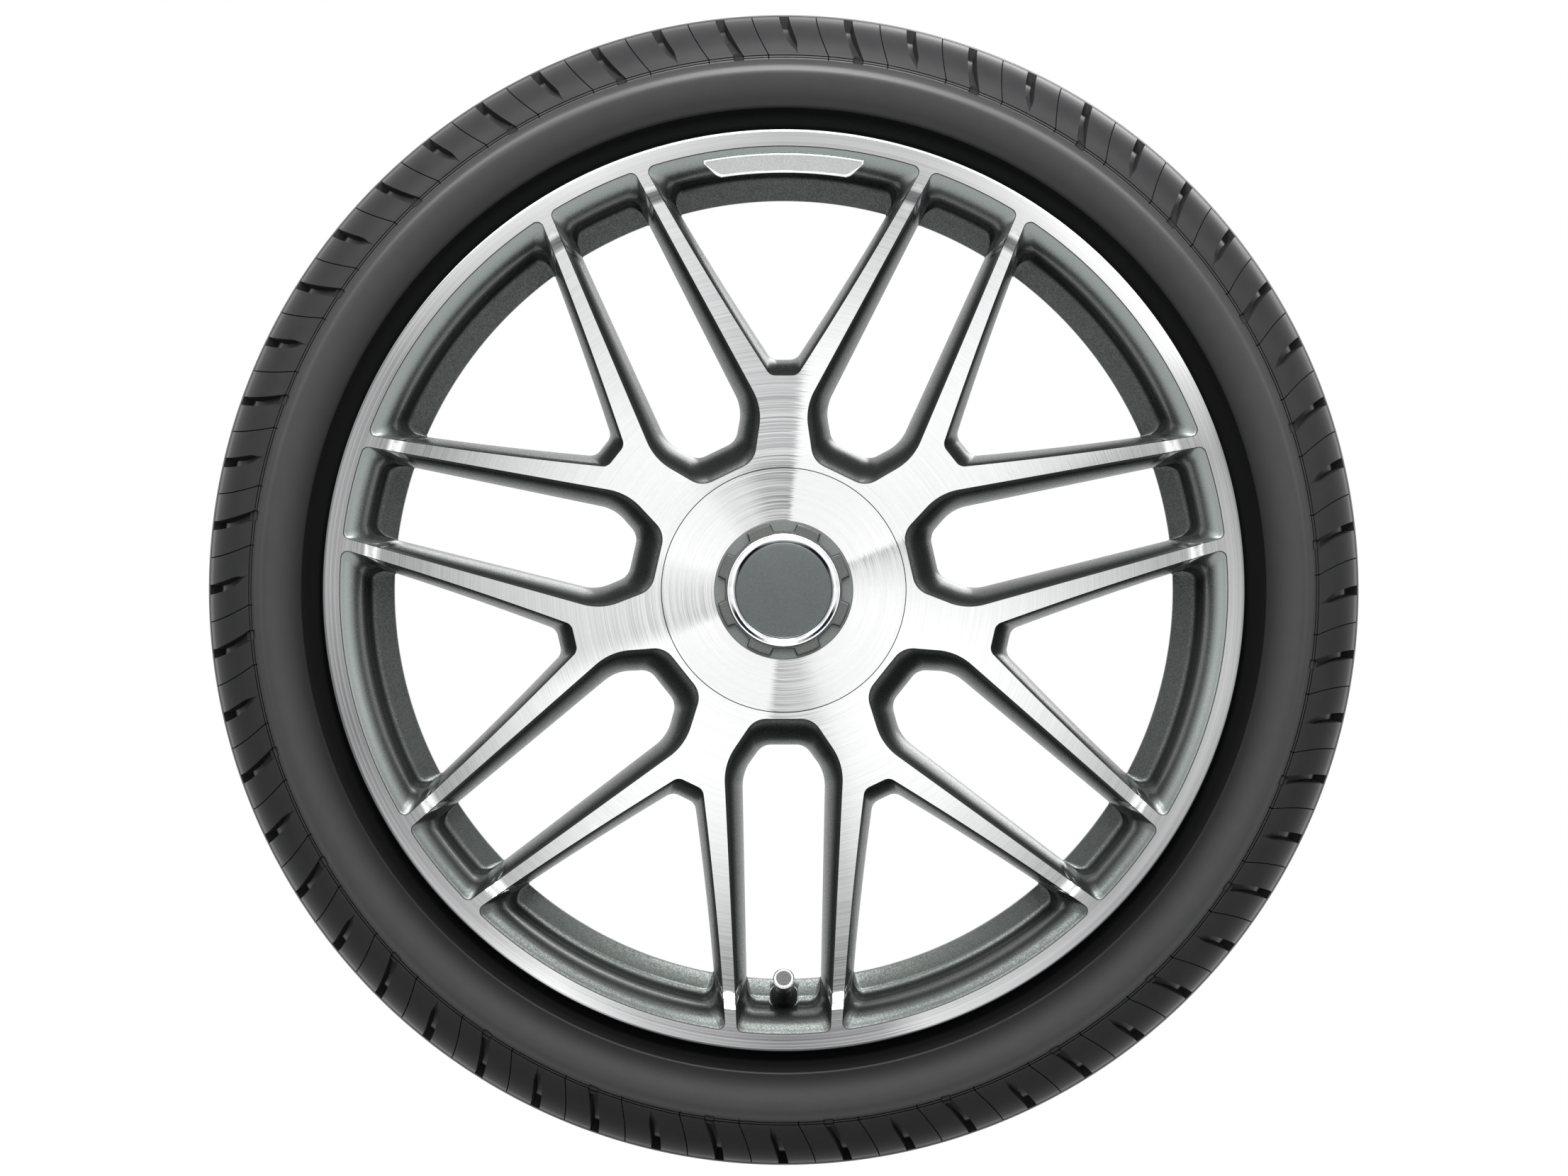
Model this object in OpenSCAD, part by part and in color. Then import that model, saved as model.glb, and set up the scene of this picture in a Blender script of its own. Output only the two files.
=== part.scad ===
/* [Rim] */
// Distance between the inner faces of the two flanges
rim_w = 215.9; // [205:0.1:225]
// Diameter of the bead seats at the flanges
bead_d = 512.8; // [508:0.1:518]
// Height of each flange above its bead seat
flange_h = 17.3; // [16:0.1:18.5]
// Thickness of the front flange
flange_t = 12.5; // [11.5:0.1:14]
// Thickness of the back flange
back_flange_t = 10.5; // [9:0.1:12]
// Depth of the drop well below the bead seats
well_depth = 20.2; // [19:0.1:22]
// Thickness of the barrel wall
barrel_t = 6; // [5:0.1:7]
// How far the mounting face lies outboard of the middle of the rim
wheel_offset = 33; // [25:0.5:38]

/* [Face] */
// Number of twin spokes
spokes = 7; // [7:1:7]
// Width of the flat machined ring beside the flange edge
ring_w = 10.4; // [9:0.1:12]
// Width of the flat band of the face, measured from the flange edge
band_w = 22.7; // [21:0.1:25]
// Radial length of the bend between the band and the spokes
bend_w = 10.2; // [8:0.1:12]
// How far the face drops back over the bend
bend_drop = 7; // [4:0.1:10]
// How far the face drops back from the bend to the hub
dish_drop = 21; // [14:0.5:26]
// Distance from the axis to the crotch of each twin spoke
crotch_r = 127; // [122:0.1:134]
// Width of an arm's machined face at the crotch
arm_w_hub = 13; // [11.5:0.1:14.5]
// Width of an arm's machined face at the rim
arm_w_rim = 6.5; // [5.5:0.1:8]
// Distance from the axis to the hub end of each slot
slot_end_r = 76.2; // [75.6:0.1:82]
// Width of a slot's flat hub end
slot_end_w = 34.7; // [30:0.1:40]
// Distance from the axis to a slot's widest place
slot_wide_r = 103; // [99:0.1:108]
// Width of a slot at its widest place
slot_wide_w = 71; // [67:0.1:74]
// Width of a slot at the rim
slot_rim_w = 55.6; // [50:0.1:58]
// Radial width of the pocket wall between the machined ring and the barrel
pocket_w = 32; // [31:0.1:33.5]
// Width of the painted flank beside the crotch windows
flank_crotch = 5.4; // [4:0.1:6.5]
// Width of the painted flank beside the slots
flank_slot = 9; // [7:0.1:10.5]
// Length of the painted slope at the crotch
crotch_slope = 9.4; // [7:0.1:12]
// Length of the painted slope at a slot's hub end
slot_slope = 15.3; // [12:0.1:18]
// Thickness of the spokes at the hub
spoke_t_hub = 36; // [30:0.5:40]
// Thickness of the spokes at the barrel
spoke_t_rim = 44; // [42:0.5:46]

/* [Hub] */
// Diameter of the centre bore
bore_d = 66.6; // [60:0.1:68]
// Length of the centre bore's wall
bore_len = 20; // [14:0.5:24]
// Number of bolt holes
bolts = 5; // [3:1:5]
// Diameter of the circle through the bolt holes
bolt_circle_d = 112; // [110:0.1:113]
// Diameter of a bolt hole
bolt_hole_d = 15; // [13:0.1:16]
// Length of a bolt hole below its ball seat
bolt_hole_len = 9; // [7:0.1:12]
// Radius of the ball seat in a bolt hole
ball_r = 14; // [12:0.1:14.2]
// Diameter of the mounting face
pad_d = 150; // [146:0.5:154]

/* [Hub cover] */
// Diameter of the cover over the wheel bolts
cover_d = 145.2; // [143:0.1:146]
// Thickness of the cover's face
cover_t = 3.5; // [2.5:0.1:4.5]
// Depth of the recess that the cover sits in
cover_depth = 16; // [14:0.1:19]
// Gap between the cover's face and the wheel
cover_gap = 0.3; // [0.2:0.05:0.5]
// Number of clips that hold the cover
clips = 5; // [3:1:5]
// Width of a clip
clip_w = 14; // [10:0.1:18]
// Thickness of a clip
clip_t = 3; // [2.4:0.1:3.6]
// Thickness of the wire that spreads the clips
wire_d = 1.8; // [1.4:0.1:2.2]
// Diameter of the castellated ring
nut_d = 82.4; // [78:0.1:86]
// Height of the castellated ring above the cover
nut_h = 5.2; // [4:0.1:7]
// Number of notches in the castellated ring
notches = 8; // [6:1:10]
// Width of a notch at its mouth
notch_w = 16; // [13:0.1:17]
// Depth of a notch towards the axis
notch_depth = 5.3; // [4.5:0.1:6]
// Outer diameter of the bright bezel
bezel_d = 66.8; // [64:0.1:68]
// Width of the bright bezel
bezel_w = 4.8; // [4:0.1:6]
// Height of the bright bezel above its seat
bezel_h = 4.4; // [3.6:0.1:6]
// Thickness of the disc inside the bezel
disc_t = 2; // [1.4:0.1:2.6]

/* [Tyre] */
// Diameter of the tyre over the tread
tyre_d = 681; // [676:0.5:686]
// Width of the tyre over its sidewalls
tyre_w = 249; // [246:0.5:254]
// Depth of the tread
tread_depth = 7.5; // [6:0.1:8.5]
// How far the tread falls away between its middle and its shoulder
crown_drop = 2.3; // [1.5:0.1:4]
// Width of the tread between its two shoulders
tread_w = 180; // [174:0.5:186]
// Number of tread pitches round the tyre
pitches = 28; // [20:1:32]
// Width of a lateral tread groove
groove_w = 5; // [3.5:0.1:6]
// Width of a circumferential tread groove
channel_w = 9; // [7:0.1:11]
// Distance from the tyre's middle to the inner pair of circumferential grooves
channel_near = 21; // [18:0.5:24]
// Distance from the tyre's middle to the outer pair of circumferential grooves
channel_far = 56; // [50:0.5:60]
// Distance from the axis to the inner end of the shoulder blocks
block_r = 317.2; // [315:0.1:320]
// Distance from the axis to the rib that guards the rim
guard_r = 286; // [284.5:0.1:289]
// Thickness of the tyre under its tread
crown_t = 13; // [11.5:0.1:15]

/* [Valve] */
// Lean of the valve towards the axle
valve_lean = 18; // [12:1:24]
// Distance from the axis to the valve's seat
valve_r = 240.7; // [239.5:0.1:241.5]
// Diameter of the valve hole
valve_hole_d = 11.3; // [10.9:0.1:11.7]
// Thickness of the wall that the valve is pulled into
valve_wall = 4; // [3:0.1:4.5]
// Length of the valve outside the wheel
valve_len = 35; // [32:0.5:38]
// Diameter of the valve's metal stem
stem_d = 7.7; // [7.4:0.1:8]
// Diameter of the rubber collar on the wheel
collar_d = 16.3; // [15:0.1:17]
// Diameter of the valve cap's head
cap_d = 12.6; // [11.6:0.1:13.4]
// Diameter of the valve cap's skirt
skirt_d = 10.4; // [10:0.1:11]
// Length of the valve cap
cap_len = 14; // [12.5:0.1:15]
// How far the valve's pin can be pressed in
pin_travel = 1.5; // [1:0.1:2]

/* [Hidden] */
$fn = 96;

// Fits
bond = 0.02;
run_gap = 0.06;
bead_gap = 0.05;
curl_gap = 0.35;
over = 1;

// Rim
seat_r = bead_d / 2;
flange_r = seat_r + flange_h;
half_w = rim_w / 2;
front_z = half_w + flange_t;
back_z = -half_w - back_flange_t;
flange_curl = 5;
seat_fillet = 4;
seat_w = 20;
seat_drop = seat_w * tan(5);
hump_h = 1.1;
hump_w = 5;
well_r = seat_r - well_depth;
well_in = well_r - barrel_t;
well_front_z = half_w - 35;
well_back_z = 26;
body_out = seat_r - 8;
body_in = body_out - barrel_t;
body_front_z = well_back_z - 24;
body_back_z = -half_w + 42;
ease_w = 2;

// Face
ring_in = flange_r - ring_w;
bend_out = flange_r - band_w;
bend_in = bend_out - bend_w;
bend_z = front_z - bend_drop;
hub_z = bend_z - dish_drop;
dish_curve = 1.15;
cover_r = cover_d / 2;
recess_r = cover_r + cover_gap;
recess_z = hub_z - cover_depth;
pad_r = pad_d / 2;
pad_chamfer = 2;
spoke_back_hub = hub_z - spoke_t_hub;
spoke_back_rim = front_z - spoke_t_rim;

// Windows
half_pitch = 180 / spokes;
arm_curve = 1.7;
tip_fillet = 13.5;
wide_fillet = 34;
crotch_fillet = 6;
rim_fillet = 4.2;
shelf_r = ring_in - pocket_w;
shelf_z = front_z - 38.3;
sink = 0.15;
pocket_line = [
    [ring_in, front_z],
    [ring_in - 12.3, front_z - 10.4],
    [ring_in - 15.6, front_z - 28.4],
    [ring_in - 22.5, front_z - 37.4],
    [shelf_r, front_z - 38.3]
];
flank_levels = [0, 0.39, 0.74, 1, 1];
flank_depths = [0, 5.5, 14, 27];
end_levels = [ring_in + sink, ring_in + sink, seat_r - 4.8, seat_r - 4.8, seat_r - 4.8];
end_sink = 1.9;
end_step = 0.8;
back_rise = 0.55;
back_start = 4;
shelf_t = 7;
side_radii = [
    mix(crotch_r, bend_in, 0.35),
    mix(crotch_r, bend_in, 0.7),
    bend_in,
    bend_in + bend_w * 0.42,
    bend_in + bend_w * 0.76
];

paint = [0.27, 0.29, 0.29];
rubber = [0.11, 0.11, 0.115];
chrome = [0.8, 0.81, 0.82];
graphite = [0.25, 0.26, 0.26];
brass = [0.72, 0.58, 0.3];
steel = [0.6, 0.61, 0.62];

function unit(v) = v / norm(v);
function mix(a, b, f) = a + (b - a) * f;
function clamp(x) = min(1, max(0, x));
function ease(x) = x * x * (3 - 2 * x);
function turn(p, a) = [p.x * cos(a) - p.y * sin(a), p.x * sin(a) + p.y * cos(a)];
function short_angle(a) = a > 180 ? a - 360 : a < -180 ? a + 360 : a;
function reverse(list) = [for (i = [len(list) - 1:-1:0]) list[i]];
function flip_x(list) = [for (p = list) [-p.x, p.y]];
function flip_y(list) = [for (p = list) [p.x, -p.y]];
function shift(list, v) = [for (p = list) p + v];
function arc(c, r, from, to, n) =
    [for (i = [0:n]) c + r * [cos(mix(from, to, i / n)), sin(mix(from, to, i / n))]];
function bezier(p, n) =
    [for (i = [0:n])
        let (t = i / n, s = 1 - t)
        s * s * s * p[0] + 3 * s * s * t * p[1] + 3 * s * t * t * p[2] + t * t * t * p[3]];

// A rounded corner at p on the way from a to b
function corner(a, p, b, r, n) =
    let (
        u = unit(a - p),
        v = unit(b - p),
        h = acos(u * v) / 2,
        c = p + unit(u + v) * r / sin(h),
        s = p + u * r / tan(h) - c,
        e = p + v * r / tan(h) - c,
        from = atan2(s.y, s.x),
        by = short_angle(atan2(e.y, e.x) - from)
    )
    arc(c, r, from, from + by, n);

// A rounded corner from the line p, d to the circle of radius big about the axis
function rim_corner(p, d, big, r, n) =
    let (
        inward = [-d.y, d.x],
        o = p + inward * r,
        b = o * d,
        t = sqrt(b * b - o * o + (big - r) * (big - r)) - b,
        c = o + d * t,
        from = atan2(-inward.y, -inward.x),
        by = short_angle(atan2(c.y, c.x) - from)
    )
    arc(c, r, from, from + by, n);

// Height of the turned face at a distance r from the axis
function face_z(r) =
    r >= bend_out ? front_z
    : r > bend_in ? front_z - bend_drop * ease((bend_out - r) / bend_w)
    : hub_z + dish_drop * pow(max(r - cover_r, 0) / (bend_in - cover_r), dish_curve);

// Outline of a slot between two twin spokes, right half, at the depth level f
function slot_tip(f) = [slot_end_w / 2 - 4.85 * f, slot_end_r + slot_slope * f];
function slot_wide(f) = [slot_wide_w / 2 - (flank_slot + 2) * f, slot_wide_r + 4.9 * f];
function slot_rim(f) = [slot_rim_w / 2 - (flank_slot - 2.5) * f, ring_in];
function slot_at(r, f) =
    let (
        p = slot_wide(f),
        d = unit(slot_rim(f) - p),
        b = p * d
    )
    p + d * (sqrt(b * b - p * p + r * r) - b);
function slot_half(f, big, radii, rounded) =
    let (
        tip = slot_tip(f),
        wide = slot_wide(f),
        rim = slot_rim(f),
        lower = corner([0, tip.y], tip, wide, tip_fillet - 3.5 * f, 2),
        upper = corner(tip, wide, rim, wide_fillet - 9 * f, 2),
        end = rounded
            ? rim_corner(wide, unit(rim - wide), big, rim_fillet, 2)
            : [for (i = [-2:0]) slot_at(big + i * end_step, f)]
    )
    concat(lower, upper, [for (r = radii) slot_at(r, f)], end);

// Outline of a window inside a twin spoke, right half, at the depth level f
arm_a = turn([-slot_wide(0).x, slot_wide(0).y], -half_pitch);
arm_b = turn([-slot_rim(0).x, slot_rim(0).y], -half_pitch);
arm_dir = unit(arm_b - arm_a);
arm_left = [-arm_dir.y, arm_dir.x];
arm_len = norm(arm_b - arm_a);
arm_start = 14;
function arm_fade(l) = pow(clamp((arm_len - l) / (arm_len - arm_start)), arm_curve);
function arm_side(l, f) =
    arm_a + arm_dir * l
    + arm_left * (mix(arm_w_rim, arm_w_hub, arm_fade(l)) + f * (flank_crotch + mix(-0.9, 0.5, arm_fade(l))));
function arm_at(r, f) =
    let (h = arm_a * arm_left + arm_w_rim + 0.1 + f * (flank_crotch - 0.9))
    sqrt(r * r - h * h) - arm_a * arm_dir;
function window_half(f, big, radii, rounded) =
    let (
        tip_y = crotch_r + crotch_slope * f,
        low = arm_side(arm_start, f),
        high = arm_side(arm_start + 12, f),
        tip = [low.x + (tip_y - low.y) * (high.x - low.x) / (high.y - low.y), tip_y],
        lower = corner([0, tip_y], tip, high, crotch_fillet + f, 2),
        near = arm_side(arm_at(big - 9, f), f),
        far = arm_side(arm_at(big - 5.5, f), f),
        end = rounded
            ? rim_corner(near, unit(far - near), big, rim_fillet, 2)
            : [for (i = [-2:0]) arm_side(arm_at(big + i * end_step, f), f)]
    )
    concat(lower, [for (r = radii) arm_side(arm_at(r, f), f)], end);

// A whole outline from its right half, closed by an arc along the rim
function whole(half, big) =
    let (
        e = half[len(half) - 1],
        from = atan2(e.y, e.x),
        top = [for (i = [1:7]) let (a = mix(from, 180 - from, i / 8)) big * [cos(a), sin(a)]]
    )
    concat(half, top, reverse(flip_x(half)));

// Outline of one twin spoke: up the slot's side, over the rim end and down the window's side
hub_sink_r = pad_r - 0.8;
function past(p, r) = p * r / norm(p);
function spoke_half(k) =
    let (
        f = flank_levels[k],
        big = end_levels[k],
        slot = [for (p = flip_x(slot_half(f, big, side_radii, k < 2))) turn(p, -half_pitch)],
        window = window_half(f, big, side_radii, k < 2),
        last = len(slot) - 1,
        side = len(window) - 1
    )
    concat(
        [past(slot[0], hub_sink_r)],
        slot,
        [past(slot[last], big + end_sink), past(window[side], big + end_sink)],
        reverse(window)
    );
function spoke_loop(k) =
    let (
        half = spoke_half(k),
        a = atan2(half[0].y, half[0].x)
    )
    concat(
        half,
        reverse(flip_x(half)),
        [for (i = [1:3]) let (t = mix(180 - a, a, i / 4)) hub_sink_r * [cos(t), sin(t)]]
    );
function at_level(loop, top, k) =
    [for (i = [0:len(loop) - 1])
        let (
            r = norm(loop[i]),
            below_face = face_z(norm(top[i])) - flank_depths[min(k, 3)] - bond,
            back = spoke_back(r) + back_rise * max(0, r - well_in - back_start)
        )
        [loop[i].x, loop[i].y, k == 4 ? back : below_face]];

module twin_spoke() {
    loops = [for (k = [0:4]) spoke_loop(k)];
    levels = [for (k = [0:4]) at_level(loops[k], loops[0], k)];
    n = len(loops[0]);
    half = (n - 3) / 2;
    mid_r = [mix(pad_r, crotch_r, 0.28), mix(pad_r, crotch_r, 0.62)];
    points = concat(
        [for (level = levels) for (p = level) p],
        [for (r = mid_r) [0, r, face_z(r) - bond]],
        [for (r = mid_r) [0, r, spoke_back(r)]]
    );
    // Triangles of the right half of the top, from the hub out
    near = 5 * n;
    far = near + 1;
    slot_end = [n - 2, n - 1, 0, 1, 2, 3];
    slot_wide = [3, 4, 5, 6];
    pairs = [
        [6, half - 1], [6, half - 2], [6, half - 3],
        for (i = [0:8]) [7 + i, half - 4 - i]
    ];
    right = concat(
        [for (i = [0:4]) [near, slot_end[i], slot_end[i + 1]]],
        [[near, 3, far]],
        [for (i = [0:2]) [far, slot_wide[i], slot_wide[i + 1]]],
        [[far, 6, half - 1]],
        [for (i = [0:len(pairs) - 2]) [pairs[i + 1][1], pairs[i][1], pairs[i + 1][0]]],
        [for (i = [0:len(pairs) - 2]) if (pairs[i][0] != pairs[i + 1][0])
            [pairs[i][1], pairs[i][0], pairs[i + 1][0]]]
    );
    function other(i) = i >= near ? i : i < 2 * half ? 2 * half - 1 - i : 4 * half + 2 - i;
    top = concat(
        [for (t = right) [t[2], t[1], t[0]]],
        [for (t = right) [other(t[0]), other(t[1]), other(t[2])]],
        [[far, half, half - 1]]
    );
    function below(i) = i >= near ? i + 2 : i + 4 * n;
    polyhedron(
        points = points,
        faces = concat(
            top,
            [for (t = top) [below(t[2]), below(t[1]), below(t[0])]],
            [for (k = [0:3]) for (i = [0:n - 1])
                let (a = k * n + i, b = k * n + (i + 1) % n) [a, b, b + n]],
            [for (k = [0:3]) for (i = [0:n - 1])
                let (a = k * n + i, b = k * n + (i + 1) % n) [a, b + n, a + n]]
        )
    );
}

module each_window(turned) {
    for (i = [0:spokes - 1])
    rotate([0, 0, 360 / spokes * (i + turned)])
    children();
}

// Section of the wheel from the axis out, before anything is cut
bead_line = concat(
    arc([flange_r - flange_curl, half_w + flange_curl], flange_curl, 0, -90, 6),
    arc([seat_r + seat_fillet, half_w - seat_fillet], seat_fillet, 90, 180, 4),
    [[seat_r - seat_drop, half_w - seat_w]],
    bezier([
        [seat_r - seat_drop, half_w - seat_w - 0.5],
        [seat_r - seat_drop + hump_h * 1.3, half_w - seat_w - 1.5],
        [seat_r - seat_drop + hump_h * 1.3, half_w - seat_w - hump_w + 1.5],
        [seat_r - seat_drop - 0.4, half_w - seat_w - hump_w]
    ], 4)
);
function spoke_back(r) =
    mix(spoke_back_hub, spoke_back_rim, pow(clamp((r - pad_r) / (well_in - 5 - pad_r)), 0.8));

module rim_section() {
    polygon(concat(
        [
            [well_in, shelf_z - 6],
            [well_in, well_back_z],
            [body_in, body_front_z],
            [body_in, body_back_z],
            [seat_r - seat_drop - barrel_t, -half_w + seat_w + hump_w],
            [seat_r - barrel_t, -half_w + 2],
            [seat_r - barrel_t + 2, back_z]
        ],
        arc([flange_r - 3, back_z + 3], 3, -90, 0, 3),
        flip_y(bead_line),
        [
            [body_out, body_back_z],
            [body_out, body_front_z],
            [well_r, well_back_z],
            [well_r, well_front_z],
            [well_r + ease_w, well_front_z + ease_w * 1.5],
            [seat_r - seat_drop - 4.5, half_w - seat_w - hump_w - 3.5]
        ],
        reverse(bead_line),
        arc([flange_r - 3, front_z - 3], 3, 0, 90, 3),
        pocket_line
    ));
}

// The hub slopes down under the slots' ends
function hub_edge(k) = norm(slot_half(flank_levels[k], ring_in, side_radii, true)[0]) + 0.2;
module hub_section() {
    polygon(concat(
        [
            [0, wheel_offset],
            [pad_r - pad_chamfer, wheel_offset],
            [pad_r, wheel_offset + pad_chamfer],
            [pad_r, spoke_back_hub - 2],
            [pad_r + 2, spoke_back_hub],
            [hub_edge(3), spoke_back_hub]
        ],
        [for (k = [3:-1:0]) [hub_edge(k), hub_z - flank_depths[k]]],
        [[0, hub_z]]
    ));
}

function ball_floor() = sqrt(ball_r * ball_r - bolt_hole_d * bolt_hole_d / 4);
ball_z = wheel_offset + bolt_hole_len + ball_floor();
bolt_access_r = ball_r + 0.4;
bore_chamfer = 1.5;

module bolt_cutter() {
    translate([0, 0, wheel_offset - over])
    cylinder(d = bolt_hole_d, h = bolt_hole_len + over + 1);
    translate([0, 0, ball_z])
    sphere(r = ball_r);
    translate([0, 0, ball_z])
    cylinder(r = bolt_access_r, h = recess_z - ball_z + over);
}

module hub_cutter() {
    translate([0, 0, recess_z])
    cylinder(r = recess_r, h = cover_depth + over);
    translate([0, 0, wheel_offset - over])
    cylinder(d = bore_d, h = bore_len + over);
    translate([0, 0, wheel_offset + bore_len])
    cylinder(d = bore_d - 6, h = cover_depth + 40);
    translate([0, 0, wheel_offset - 0.01])
    cylinder(r1 = bore_d / 2 + bore_chamfer, r2 = bore_d / 2, h = bore_chamfer);
    for (i = [0:bolts - 1])
    rotate([0, 0, 90 + 360 / bolts * i])
    translate([bolt_circle_d / 2, 0, 0])
    bolt_cutter();
}

// The valve stands on a spot face in the pocket wall of the lowest slot
valve_z = front_z - 36.4;
valve_boss_r = collar_d / 2 + 0.9;
module at_valve() {
    translate([0, -valve_r, valve_z])
    rotate([-valve_lean, 0, 0])
    children();
}

base_r = 8.6;
module valve_cutter() {
    at_valve() {
        cylinder(r = valve_boss_r, h = 14);
        translate([0, 0, -valve_wall - over])
        cylinder(d = valve_hole_d, h = valve_wall + 2 * over);
        translate([0, 0, -valve_wall - 16])
        cylinder(r = base_r + 0.5, h = 16);
    }
}

module face_to_street() {
    rotate([90, 0, 0])
    children();
}

shelf_radii = [mix(crotch_r, shelf_r, 0.3), mix(crotch_r, shelf_r, 0.6)];

// Webs that round the corners where the spokes meet the barrel's inner edge
module shelf_webs() {
    translate([0, 0, shelf_z - shelf_t])
    linear_extrude(height = shelf_t - bond)
    difference() {
        circle(r = well_r - 1.5);
        circle(r = shelf_r - 14);
        each_window(0)
        polygon(whole(window_half(1, shelf_r, shelf_radii, true), shelf_r));
        each_window(0.5)
        polygon(whole(slot_half(1, shelf_r, shelf_radii, true), shelf_r));
    }
}

module alloy_wheel() {
    color(paint)
    face_to_street()
    difference() {
        union() {
            rotate_extrude()
            rim_section();
            rotate_extrude()
            hub_section();
            shelf_webs();
            each_window(0)
            twin_spoke();
        }
        hub_cutter();
        valve_cutter();
    }
}

// Tyre
tyre_r = tyre_d / 2;
tread_half = tread_w / 2;
tyre_half = tyre_w / 2;
function tread_r(z) = tyre_r - crown_drop * pow(abs(z) / tread_half, 2);
block_z = half_w + 9.7;
shoulder_line = bezier([
    [tread_r(tread_half), tread_half],
    [tread_r(tread_half) - 2, tread_half + 13],
    [block_r + 11, block_z - 4.5],
    [block_r, block_z]
], 4);
floor_line = bezier([
    [tread_r(tread_half) - tread_depth, tread_half - 1],
    [tread_r(tread_half) - tread_depth - 1.5, tread_half + 9],
    [block_r + 6, block_z - 7.5],
    [block_r - 0.3, block_z - 1.9]
], 3);
channel_edge = channel_far + channel_w / 2;

function channel(z) = [
    [tread_r(z - channel_w / 2), z - channel_w / 2],
    [tread_r(z) - tread_depth, z - channel_w / 2 + 1],
    [tread_r(z) - tread_depth, z + channel_w / 2 - 1],
    [tread_r(z + channel_w / 2), z + channel_w / 2]
];

tyre_outside = concat(
    [[tyre_r, 0]],
    channel(channel_near),
    [for (p = channel(channel_far)) if (p.y < channel_far + 1) p],
    floor_line,
    bezier([
        [block_r - 1.5, block_z + 0.6],
        [block_r - 8, block_z + 3.5],
        [guard_r + 16, tyre_half],
        [guard_r + 5, tyre_half]
    ], 5),
    arc([guard_r + 1, tyre_half - 2], 2, 60, 165, 3),
    bezier([
        [guard_r - 3.6, tyre_half - 4.6],
        [guard_r - 6, half_w + 5],
        [flange_r + 1, half_w + 3.9],
        [flange_r - 0.9, half_w + 1.6]
    ], 4),
    arc([flange_r - flange_curl, half_w + flange_curl], flange_curl + curl_gap, -40, -90, 3),
    arc([seat_r + seat_fillet + 1, half_w - seat_fillet - 1], seat_fillet + 1 - bead_gap, 90, 180, 4),
    [
        [seat_r - seat_drop + 0.3, half_w - seat_w + 1],
        [seat_r + 2, half_w - seat_w - 1]
    ]
);
tyre_inside = bezier([
    [seat_r + 7, half_w - seat_w + 4],
    [guard_r + 10, half_w - 4],
    [block_r - 13, half_w + 17],
    [tyre_r - crown_t - 7, half_w - 3]
], 6);

module tyre_section() {
    half = concat(
        tyre_outside,
        tyre_inside,
        [[tyre_r - crown_t - 1.5, tread_half - 14], [tyre_r - crown_t, 0]]
    );
    polygon(concat(half, reverse(flip_y([for (i = [1:len(half) - 2]) half[i]]))));
}

module shoulder_band() {
    rotate_extrude()
    polygon(concat(
        [[tread_r(channel_edge), channel_edge]],
        shoulder_line,
        reverse(shift(floor_line, [-0.6, -0.4])),
        [[tread_r(channel_edge) - tread_depth - 0.6, channel_edge - 1]]
    ));
}

// Lateral grooves as seen from the side, leaning with the same hand all round
groove_turn = 1.6;
function lean(r) = groove_turn * pow(clamp((tyre_r - r) / (tyre_r - block_r)), 1.4);
function on_lean(r, side) = turn([side, r], -lean(r));
module groove_shape(widths, end_r) {
    radii = [for (i = [0:len(widths) - 1]) mix(tyre_r + 3, end_r, i / (len(widths) - 1))];
    polygon(concat(
        [for (i = [0:len(widths) - 1]) on_lean(radii[i], widths[i] / 2)],
        reverse([for (i = [0:len(widths) - 1]) on_lean(radii[i], -widths[i] / 2)])
    ));
}

module shoulder_cuts() {
    step = 360 / pitches;
    translate([0, 0, channel_edge - 3])
    linear_extrude(height = tyre_half - channel_edge + 3)
    for (i = [0:pitches - 1]) {
        rotate([0, 0, step * i])
        groove_shape([groove_w, groove_w, groove_w * 0.4], block_r + 1.6);
        rotate([0, 0, step * (i + 0.5)])
        groove_shape([groove_w, groove_w, groove_w * 1.2], block_r - 3);
    }
}

module shoulder_blocks() {
    difference() {
        shoulder_band();
        shoulder_cuts();
    }
}

module tyre() {
    color(rubber)
    face_to_street() {
        rotate_extrude()
        tyre_section();
        shoulder_blocks();
        mirror([0, 0, 1])
        shoulder_blocks();
    }
}

// Hub cover
cover_z = hub_z - 0.4;
skirt_out = recess_r - run_gap;
skirt_h = 6;
clip_h = cover_depth - 1.5;
wire_z = cover_z - clip_h + 4;
wire_in = skirt_out - clip_t;
collar_in = 24;
collar_out = 27;
collar_h = 7;

module clip_sectors() {
    for (i = [0:clips - 1])
    rotate([0, 0, 90 + 360 / clips * (i + 0.5)])
    translate([0, -clip_w / 2, cover_z - clip_h - 1])
    cube([cover_r + 5, clip_w, clip_h + 2]);
}

module hub_cover() {
    color(chrome)
    face_to_street() {
        rotate_extrude()
        polygon([
            [collar_out + run_gap, cover_z - cover_t],
            [skirt_out - 2.4, cover_z - cover_t],
            [skirt_out - 2.4, cover_z - skirt_h],
            [skirt_out, cover_z - skirt_h],
            [skirt_out, cover_z - 1.6],
            [cover_r, cover_z - 1.2],
            [cover_r, cover_z - 0.4],
            [cover_r - 0.4, cover_z],
            [collar_out + run_gap, cover_z]
        ]);
        intersection() {
            rotate_extrude()
            polygon([
                [wire_in, cover_z - cover_t + 0.5],
                [wire_in, wire_z + wire_d / 2 + 0.3],
                [wire_in + 0.8, wire_z + wire_d / 2 - 0.3],
                [wire_in + 0.8, wire_z - wire_d / 2 + 0.3],
                [wire_in, wire_z - wire_d / 2 - 0.3],
                [wire_in, cover_z - clip_h],
                [skirt_out - 1, cover_z - clip_h],
                [skirt_out, cover_z - clip_h + 2.5],
                [skirt_out, cover_z - skirt_h + 0.5],
                [skirt_out - 0.4, cover_z - cover_t + 0.5]
            ]);
            clip_sectors();
        }
    }
}

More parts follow.
